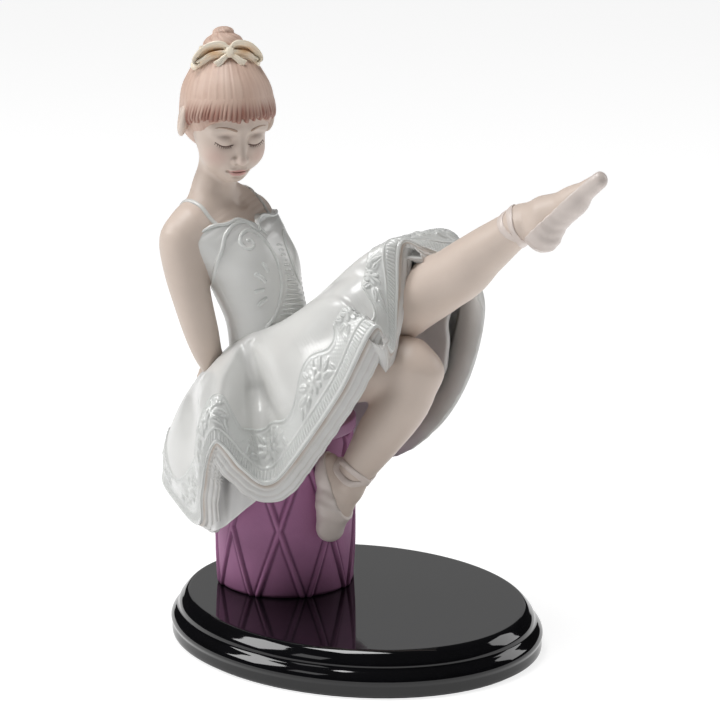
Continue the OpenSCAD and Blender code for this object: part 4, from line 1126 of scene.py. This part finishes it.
def pleats(G, N):
    a, b = view_plane(G)
    out = np.zeros(a.shape)
    for w, hgt, pts in PLEATS:
        L = crom(np.array(pts, float), np.linspace(0, len(pts) - 1, 25))
        best = np.full(a.shape, 1e9)
        tt = np.zeros(a.shape)
        for i, (x, y) in enumerate(L):
            d2 = (a - x) ** 2 + (b - y) ** 2
            m = d2 < best
            best[m] = d2[m]
            tt[m] = i / 24
        out += hgt * np.exp(-best / w ** 2) * (0.35 + 0.65 * np.sin(np.pi * np.clip(0.1 + 0.85 * tt, 0, 1)))
    return out * smooth((N @ VIEW_N), 0.0, 0.35)


def skirt_grid(U, V):
    G = cloth_at(U, V)
    N = grid_normals(G)
    return G + N * (folds(U, V) * 0.7 + 1.3 * pleats(G, N))[..., None]


# arc lengths: s along the hem, d down to the hem
U0 = columns(2000)
H0 = skirt_grid(U0, np.linspace(2.9, 3.0, 3))[-1]
seg = np.linalg.norm(np.roll(H0, -1, 0) - H0, axis=1)
S0 = np.concatenate([[0], np.cumsum(seg)])
HEM = S0[-1]


def arc(U):
    return np.interp(U, np.concatenate([U0, [23]]), S0)


def drop(G):
    """Distance to the hem down each column."""
    L = np.linalg.norm(np.diff(G, axis=0), axis=-1)
    return np.concatenate([np.cumsum(L[::-1], 0)[::-1], np.zeros((1, G.shape[1]))])


def shell_mesh(O, I, rim=5, waist_rim=1):
    """Closed shell from outer rows O and inner rows I (waist first), with a rounded hem."""
    e = np.linspace(0, np.pi, rim + 2)[1:-1]
    A, B = O[-1], I[-1]
    mid, half = (A + B) / 2, (A - B) / 2
    down = unit(O[-1] - O[-2]) * 0.5 + unit(I[-1] - I[-2]) * 0.5
    hl = np.linalg.norm(half, axis=-1, keepdims=True)
    R = np.stack([mid + half * math.cos(t) + down * hl * 0.7 * math.sin(t) for t in e])
    G = np.concatenate([O, R, I[::-1]])
    nr, nc = G.shape[:2]
    Q = grid_quads(nr, nc, wrap_r=True)
    return G, Q[:, ::-1]


print("hem length", round(HEM, 1))
NU = 760
U = columns(NU, [(12, 22, 1.2)])
V = np.linspace(0, 3, 84)
G = skirt_grid(U, V)
N = grid_normals(G)
I = eased(G - N * 2.3, 6)
I = I[::3]
Gs, Qs = shell_mesh(G[:-3] if False else G, I)
X = Gs.reshape(-1, 3)
fadein = smooth(np.arange(84) / 83.0, 0.0, 0.5)
make("skirt", X, Qs, [M_DRESS], cad=("skirt",))

# ---- raised lace band
P0 = HEM / 14.0                                  # one repeat of the pattern


def leaf(x, y, cx, cy, ang, L, W):
    """Signed outline of a leaf: 1 at its middle, 0 at the edge."""
    c, s = math.cos(math.radians(ang)), math.sin(math.radians(ang))
    X, Y = (x - cx) * c + (y - cy) * s, -(x - cx) * s + (y - cy) * c
    t = X / L
    w = W * np.sqrt(np.clip(1 - t * t, 0, 1)) * (1 - 0.35 * t)
    return X, Y, t, w


def lace_relief(s, d):
    """Height of the relief at hem position s and distance d from the hem, in millimetres."""
    x = (s / P0 - np.floor(s / P0) - 0.5) * P0      # 0 in the middle of a repeat
    h = np.full_like(s, 0.16)
    wob = 0.25 * wave_noise(np.stack([s, d, 0 * s], -1), 3, 23, 2)
    top = 19.0 + 4.2 * np.cos(2 * np.pi * x / P0) + wob
    b1 = d - top
    edge = 1 - smooth(b1, -0.2, 0.9)
    slope = np.sqrt(1 + (4.2 * 2 * np.pi / P0 * np.sin(2 * np.pi * x / P0)) ** 2)
    h += 0.46 * ridge(b1 / slope, 0.62)
    h += 0.2 * ridge((b1 + 2.0) / slope, 0.42)
    # hem: rolled rim, short ribs, a line above them
    h += 0.35 * (1 - smooth(d, 0.7, 1.4))
    rib = 0.5 + 0.5 * np.cos(2 * np.pi * s / 1.55 + 0.5 * np.sin(d))
    h += 0.34 * rib ** 1.5 * smooth(d, 1.3, 1.9) * (1 - smooth(d, 4.6, 5.4))
    h += 0.4 * ridge(d - 6.1, 0.42)
    inner = smooth(d, 6.4, 7.0) * (1 - smooth(b1 + 2.4, -0.4, 0.3))
    # flower in the middle of each repeat
    cy = 13.2
    r = np.hypot(x, (d - cy))
    th = np.arctan2(d - cy, x)
    pet = np.abs(np.cos(3.5 * th + 0.4))
    fl = 4.9 * (0.45 + 0.55 * pet ** 0.7)
    petal = smooth(fl - r, -0.15, 0.7)
    groove = ridge(np.sin(3.5 * th + 0.4 + np.pi / 2) * r * 0.30, 0.22) * smooth(r, 1.3, 2.0)
    h += inner * (0.52 * petal * (1 - 0.55 * groove) + 0.45 * ridge(r, 1.0))
    # sprays of leaves on both sides
    for sx in (-1, 1):
        xx = x * sx
        for (cx, cy2, an, L, W) in ((7.4, 16.2, 38, 3.4, 1.25), (9.8, 12.6, 6, 3.4, 1.2), (7.6, 9.4, -30, 3.0, 1.1), (12.4, 9.0, -62, 2.6, 1.0), (3.2, 18.6, 62, 2.6, 1.0)):
            X, Y, t, w = leaf(xx, d, cx, cy2, an, L, W)
            m = smooth(w - np.abs(Y), -0.1, 0.5) * (np.abs(t) < 1)
            h += inner * (0.40 * m * (1 - 0.7 * ridge(Y, 0.22)))
            vein = 0.5 + 0.5 * np.cos(2 * np.pi * (X + 0.8 * np.abs(Y)) / 0.95)
            h += inner * 0.12 * m * vein
        # a tendril that ends in a small curl
        tx = np.clip(xx / 14.0, 0, 1)
        path = 8.6 + 4.0 * np.sin(2.6 * tx * np.pi * 0.5 + 0.2) * tx
        h += inner * 0.30 * ridge((d - path), 0.4) * smooth(xx, 4.6, 5.6) * (1 - smooth(xx, 13.6, 14.6))
    # fine net ground between the motifs
    net = (0.5 + 0.5 * np.cos(2 * np.pi * (s + d) / 2.1)) * (0.5 + 0.5 * np.cos(2 * np.pi * (s - d) / 2.1))
    h += inner * 0.07 * net * (1 - petal)
    return 1.35 * h * edge, edge


NL = 1400
UL = columns(NL, [(11.0, 22.6, 1.6)])
VL = np.linspace(1.55, 3.0, 57)
GL = skirt_grid(UL, VL)
NLm = grid_normals(GL)
dl = drop(GL)
sl = np.broadcast_to(arc(UL)[None], dl.shape)
h, edge = lace_relief(sl, dl)
fade = smooth(VL, 1.55, 1.62)[:, None]
O = GL + NLm * ((h + 0.02) * fade)[..., None] - NLm * (0.25 * (1 - np.maximum(edge, 0)) + 0.0)[..., None]
I = (GL - NLm * 0.45)[::8]
Gs, Qs = shell_mesh(O, I, rim=2)
make("skirt_lace", Gs.reshape(-1, 3), Qs, [M_LACE], cad=("skirt_lace",))

# ---- frill: grooved layers under the hem
NF = 1500
UF = columns(NF, [(11.0, 22.6, 1.2)])
VF = np.linspace(2.6, 3.0, 14)
GF = skirt_grid(UF, VF)
NFm = grid_normals(GF)
sF = arc(UF)
down = unit(GF[-1] - GF[-2])
nH = NFm[-1]
depth = 6.6
nn = np.linspace(0.6, depth, 34)
layer = 0.6 * np.abs(np.sin(np.pi * (nn - 0.6) / (depth - 0.6) * 3.5)) ** 0.8
drop_n = 0.5 + 4.9 * smooth(nn, 0.2, depth * 0.95) + layer
wav = 0.08 * np.sin(2 * np.pi * sF / 9.3) + 0.05 * np.sin(2 * np.pi * sF / 5.1 + 1)
rows = []
base = GF[-1]
for k, n in enumerate(nn):
    m = int(round(n * 1.2))
    rows.append(eased(base - nH * n, m) + down * (drop_n[k] + wav * (0.4 + 0.2 * n))[:, None])
Oi = []
for j, v in enumerate((11, 8, 5, 2, 0)):
    Oi.append(eased(GF[v] - NFm[v] * (depth - 0.5 * j * 0.5), 8))
Oo = []
for j, v in enumerate((0, 4, 8, 12)):
    Oo.append(GF[v] - NFm[v] * 0.6)
G = np.concatenate([np.stack(Oo), np.stack(rows), np.stack(Oi)])
Q = grid_quads(len(G), NF, wrap_r=True)[:, ::-1]
# painted shade: darkest just under the hem's rolled rim, weaker in the grooves between the frill's layers, with a slow
# variation along the hem
ln = np.zeros((len(G), NF))
ln[4:4 + len(nn)] = (0.8 * np.exp(-((nn - 0.7) / 0.7) ** 2) + 0.22 * (1 - layer / 0.42) * (nn > 1.8))[:, None]
ln *= (0.85 + 0.15 * np.sin(2 * np.pi * sF / 17))[None]
make("skirt_frill", G.reshape(-1, 3), Q, [M_FRILL], attrs={"shade_and_streaks": np.clip(ln, 0, 1).ravel()}, cad=("skirt_frill",))

# ---- petticoat
UP = np.linspace(0, 14, 521)[:-1]
VP = np.linspace(0, 3, 60)
G = cloth_at(UP, VP, UN)
N = grid_normals(G)
fo = (0.7 * np.sin(2 * np.pi * UP * 1.6)[None] + 0.4 * np.sin(2 * np.pi * UP * 2.9 + 1)[None]) * smooth(VP, 0.8, 2.4)[:, None]
G = G + N * fo[..., None]
I = eased(G - N * 1.7, 4)[::2]
Gs, Qs = shell_mesh(G, I, rim=5)
X = Gs.reshape(-1, 3)
r = np.hypot(X[:, 0] + 37, X[:, 1])
push = np.clip(29.2 - r, 0, 5) * (X[:, 2] < 89.0)
X[:, 0] += (X[:, 0] + 37) / np.maximum(r, 1) * push
X[:, 1] += X[:, 1] / np.maximum(r, 1) * push
make("petticoat", X, Qs, M_LINING, cad=("petticoat",))

# ------------------------------------------------------------------ drum
def cord_offset(th, z):
    """Distance from the nearest zigzag cord on the drum, th in degrees."""
    t = np.clip(z / 66.0, -0.1, 1.1)
    best = np.full_like(th, 1e9)
    for sgn in (-1, 1):
        q = th - sgn * (45.0 * t + 3.0) + 33
        m = (q + 22.5) % 45 - 22.5
        slope = math.radians(45.0) * 28 / 66.0
        best = np.minimum(best, np.abs(np.radians(m) * 28) / math.sqrt(1 + slope ** 2))
    return best


nz, nt = 124, 640
zz = np.linspace(0, 65, nz)
th = np.linspace(0, 360, nt, endpoint=False)
ZZ, TT = np.meshgrid(zz, th, indexing="ij")
d = cord_offset(TT, ZZ)
rr = 28.0 + 0.95 * np.sqrt(np.clip(1 - (d / 0.95) ** 2, 0, 1)) - 0.34 * ridge(d - 1.45, 0.42)
rr += 0.04 * wave_noise(np.stack([ZZ, np.cos(np.radians(TT)) * 28, np.sin(np.radians(TT)) * 28], -1), 9, 9, 3)
rr -= 0.6 * (1 - smooth(ZZ, 0.0, 0.9))
G = np.stack([-37 + rr * np.cos(np.radians(TT)), rr * np.sin(np.radians(TT)), 18 + ZZ], -1)
# painted shade in the groove beside each cord and at the drum's foot
shade_and_streaks = 0.75 * ridge(d - 1.45, 0.5) + 0.25 * (1 - smooth(ZZ, 0, 2))
inner = []
for (r_, z_) in ((25.4, 65.0), (25.0, 64.6), (25.0, 4.3), (24.6, 4.0), (3.0, 4.0)):
    inner.append(np.stack([-37 + r_ * np.cos(np.radians(th)), r_ * np.sin(np.radians(th)), np.full(nt, 18 + z_)], -1))
low = [np.stack([-37 + r_ * np.cos(np.radians(th)), r_ * np.sin(np.radians(th)), np.full(nt, 18.02)], -1) for r_ in (3.0, 26.5)]
Gd = np.concatenate([np.stack(low), G, np.stack(inner)])
tt = np.concatenate([np.zeros((2, nt)), shade_and_streaks, np.zeros((5, nt))])
Qd = grid_quads(len(Gd), nt, wrap_r=True)
make("drum_shell", Gd.reshape(-1, 3), Qd, M_DRUM, attrs={"shade_and_streaks": tt.ravel()}, cad=("drum_shell", "drum_cords"))

# hoop: a rounded band round the drum's head
hp = np.array([[27.9, 65.0], [28.5, 65.1], [29.0, 65.6], [29.1, 67.5], [29.0, 69.4], [28.5, 69.95], [27.2, 70.0], [25.4, 70.0], [25.0, 69.6], [25.0, 65.4], [25.4, 65.0]])
hh = crom(hp, np.linspace(0, len(hp), 66, endpoint=False), True)
G = np.stack([np.stack([-37 + a * np.cos(np.radians(th)), a * np.sin(np.radians(th)), np.full(nt, 18 + b)], -1) for a, b in hh])
make("drum_hoop", G.reshape(-1, 3), grid_quads(len(G), nt, wrap_r=True), M_HOOP, cad=("drum_hoop",))

# ------------------------------------------------------------------ plinth
HX, HY = 73.0, 73.0 * 0.843
OG = [[2.6, 2.2], [3.2, 2.6], [4.6, 3.2], [5.3, 4.4], [5.45, 5.6], [5.2, 6.6], [4.7, 7.2], [4.5, 7.8], [4.1, 8.6]]


def oval_ring(d, z, n=480):
    q = np.linspace(0, 2 * np.pi, n, endpoint=False)
    c, w = np.cos(q), np.sin(q)
    m = np.hypot(HY * c, HX * w)
    return np.stack([HX * c + d * HY * c / m, HY * w + d * HX * w / m, np.full(n, z)], -1)


OG = np.array([[6.35, 1.15], [6.6, 1.5], [6.7, 2.6], [6.5, 4.4], [6.45, 5.2], [6.7, 5.9], [7.0, 6.8], [6.9, 7.8], [6.3, 9.1], [5.3, 10.3],
               [4.4, 11.2], [3.9, 12.0], [3.75, 12.9], [3.5, 13.8], [2.9, 14.8], [2.0, 15.9], [1.1, 16.9], [0.3, 17.55], [-0.4, 17.9], [-1.2, 18.0], [-3.0, 18.0]])
pr = crom(OG, np.linspace(0, len(OG) - 1, 110))
rows = [oval_ring(a, b) for a, b in pr]
k = 480
q = np.linspace(0, 2 * np.pi, k, endpoint=False)
top = [oval_ring(-3.0, 18.0) * [s, s, 0] + [(1 - s) * -37, 0, 18.0] for s in (0.7, 0.4, 0.15)]
c45 = [np.stack([-37 + r_ * np.cos(q), r_ * np.sin(q), np.full(k, z_)], -1) for r_, z_ in ((2.25, 18.0), (2.25, 6.0), (6.5, 6.0), (6.5, 1.05))]
bot = [oval_ring(5.9, 1.05)]
G = np.concatenate([np.stack(rows), np.stack(top), np.stack(c45), np.stack(bot)])
make("base_plinth", G.reshape(-1, 3), grid_quads(len(G), k, wrap_r=True), M_JET, cad=("base_plinth",))


def reshade(node, mat):
    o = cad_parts[node]
    o.data.materials.clear()
    o.data.materials.append(mat)


reshade("base_felt", M_FELT)
reshade("fixing_screw", M_STEEL)
reshade("fixing_washer", M_STEEL)
reshade("threaded_insert", M_BRASS)
reshade("drum_head", M_HOOP)

# ------------------------------------------------------------------ floor, light, camera
AZ, EL = math.radians(38.5), math.radians(15.5)
RIGHT = Vector((math.cos(AZ), math.sin(AZ), 0))
NEAR = Vector((math.sin(AZ), -math.cos(AZ), 0))
UPV = Vector((0, 0, 1))
AIM = Vector((0.001377, 0.001096, 0.1172))

fm, fnt, fb = new_mat("floor_pale")
tc = add(fnt, "ShaderNodeTexCoord")
nz_ = add(fnt, "ShaderNodeTexNoise")
nz_.inputs["Scale"].default_value = 3.0
fnt.links.new(tc.outputs["Object"], nz_.inputs["Vector"])
rp = add(fnt, "ShaderNodeValToRGB")
rp.color_ramp.elements[0].color = (0.36, 0.36, 0.36, 1)
rp.color_ramp.elements[1].color = (0.39, 0.39, 0.39, 1)
fnt.links.new(nz_.outputs["Fac"], rp.inputs["Fac"])
fnt.links.new(rp.outputs["Color"], fb.inputs["Base Color"])
fb.inputs["Roughness"].default_value = 0.9
fb.inputs["Specular IOR Level"].default_value = 0.1
fb.inputs["Emission Color"].default_value = (1, 1, 1, 1)
fb.inputs["Emission Strength"].default_value = 0.82
me = bpy.data.meshes.new("floor")
s_ = 8.0
me.from_pydata([(-s_, -s_, 0), (s_, -s_, 0), (s_, s_, 0), (-s_, s_, 0)], [], [(0, 1, 2, 3)])
me.materials.append(fm)
floor = bpy.data.objects.new("floor", me)
bpy.context.scene.collection.objects.link(floor)
floor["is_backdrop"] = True


def softbox(name, x, y, z, size, power, aim=(0, 0, 0.11), col=(1, 1, 1), size_y=None):
    L = bpy.data.lights.new(name, "AREA")
    L.energy = power
    L.color = col
    L.shape = "RECTANGLE" if size_y else "SQUARE"
    L.size = size
    if size_y:
        L.size_y = size_y
    o = bpy.data.objects.new(name, L)
    bpy.context.scene.collection.objects.link(o)
    p = RIGHT * x + NEAR * y + UPV * z
    o.location = p
    o.rotation_euler = (Vector(aim) - p).to_track_quat("-Z", "Y").to_euler()
    return o


softbox("key", -1.2, 0.1, 0.98, 0.5, 8.4, size_y=0.7)
softbox("fill", 1.2, -0.4, 0.6, 0.5, 3.6, size_y=0.7)
softbox("over", -0.3, 0.15, 1.5, 0.6, 13.0, size_y=0.6)
softbox("front", -0.85, 0.75, 1.0, 0.4, 0.8, size_y=0.4)
softbox("card", 0, -2.4, 0.75, 1.8, 1.9, size_y=0.7)

w = bpy.data.worlds.new("studio")
bpy.context.scene.world = w
w.use_nodes = True
wt = w.node_tree
wt.nodes.clear()
wo = wt.nodes.new("ShaderNodeOutputWorld")
bg = wt.nodes.new("ShaderNodeBackground")
wt.links.new(bg.outputs[0], wo.inputs[0])
tcw = wt.nodes.new("ShaderNodeTexCoord")
sp = wt.nodes.new("ShaderNodeSeparateXYZ")
wt.links.new(tcw.outputs["Generated"], sp.inputs[0])
wr = wt.nodes.new("ShaderNodeValToRGB")
wt.links.new(sp.outputs["Z"], wr.inputs["Fac"])
e = wr.color_ramp.elements
e[0].position = 0.0
e[0].color = (0.42, 0.42, 0.43, 1)
e[1].position = 1.0
e[1].color = (0.95, 0.95, 0.97, 1)
a_ = e.new(0.34)
a_.color = (0.36, 0.36, 0.37, 1)
a_ = e.new(0.6)
a_.color = (0.75, 0.75, 0.77, 1)
wt.links.new(wr.outputs["Color"], bg.inputs["Color"])
bg.inputs["Strength"].default_value = 0.045

cam = bpy.data.cameras.new("camera")
cam.lens = 175
cam.sensor_width = 36
co = bpy.data.objects.new("camera", cam)
bpy.context.scene.collection.objects.link(co)
back = NEAR * math.cos(EL) + UPV * math.sin(EL)
co.location = AIM + back * 1.4
co.rotation_euler = back.to_track_quat("Z", "Y").to_euler()
bpy.context.scene.camera = co
bpy.context.scene.view_settings.view_transform = "Standard"
bpy.context.scene.view_settings.look = "None"

SIZE["visual"] = as_list(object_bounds())
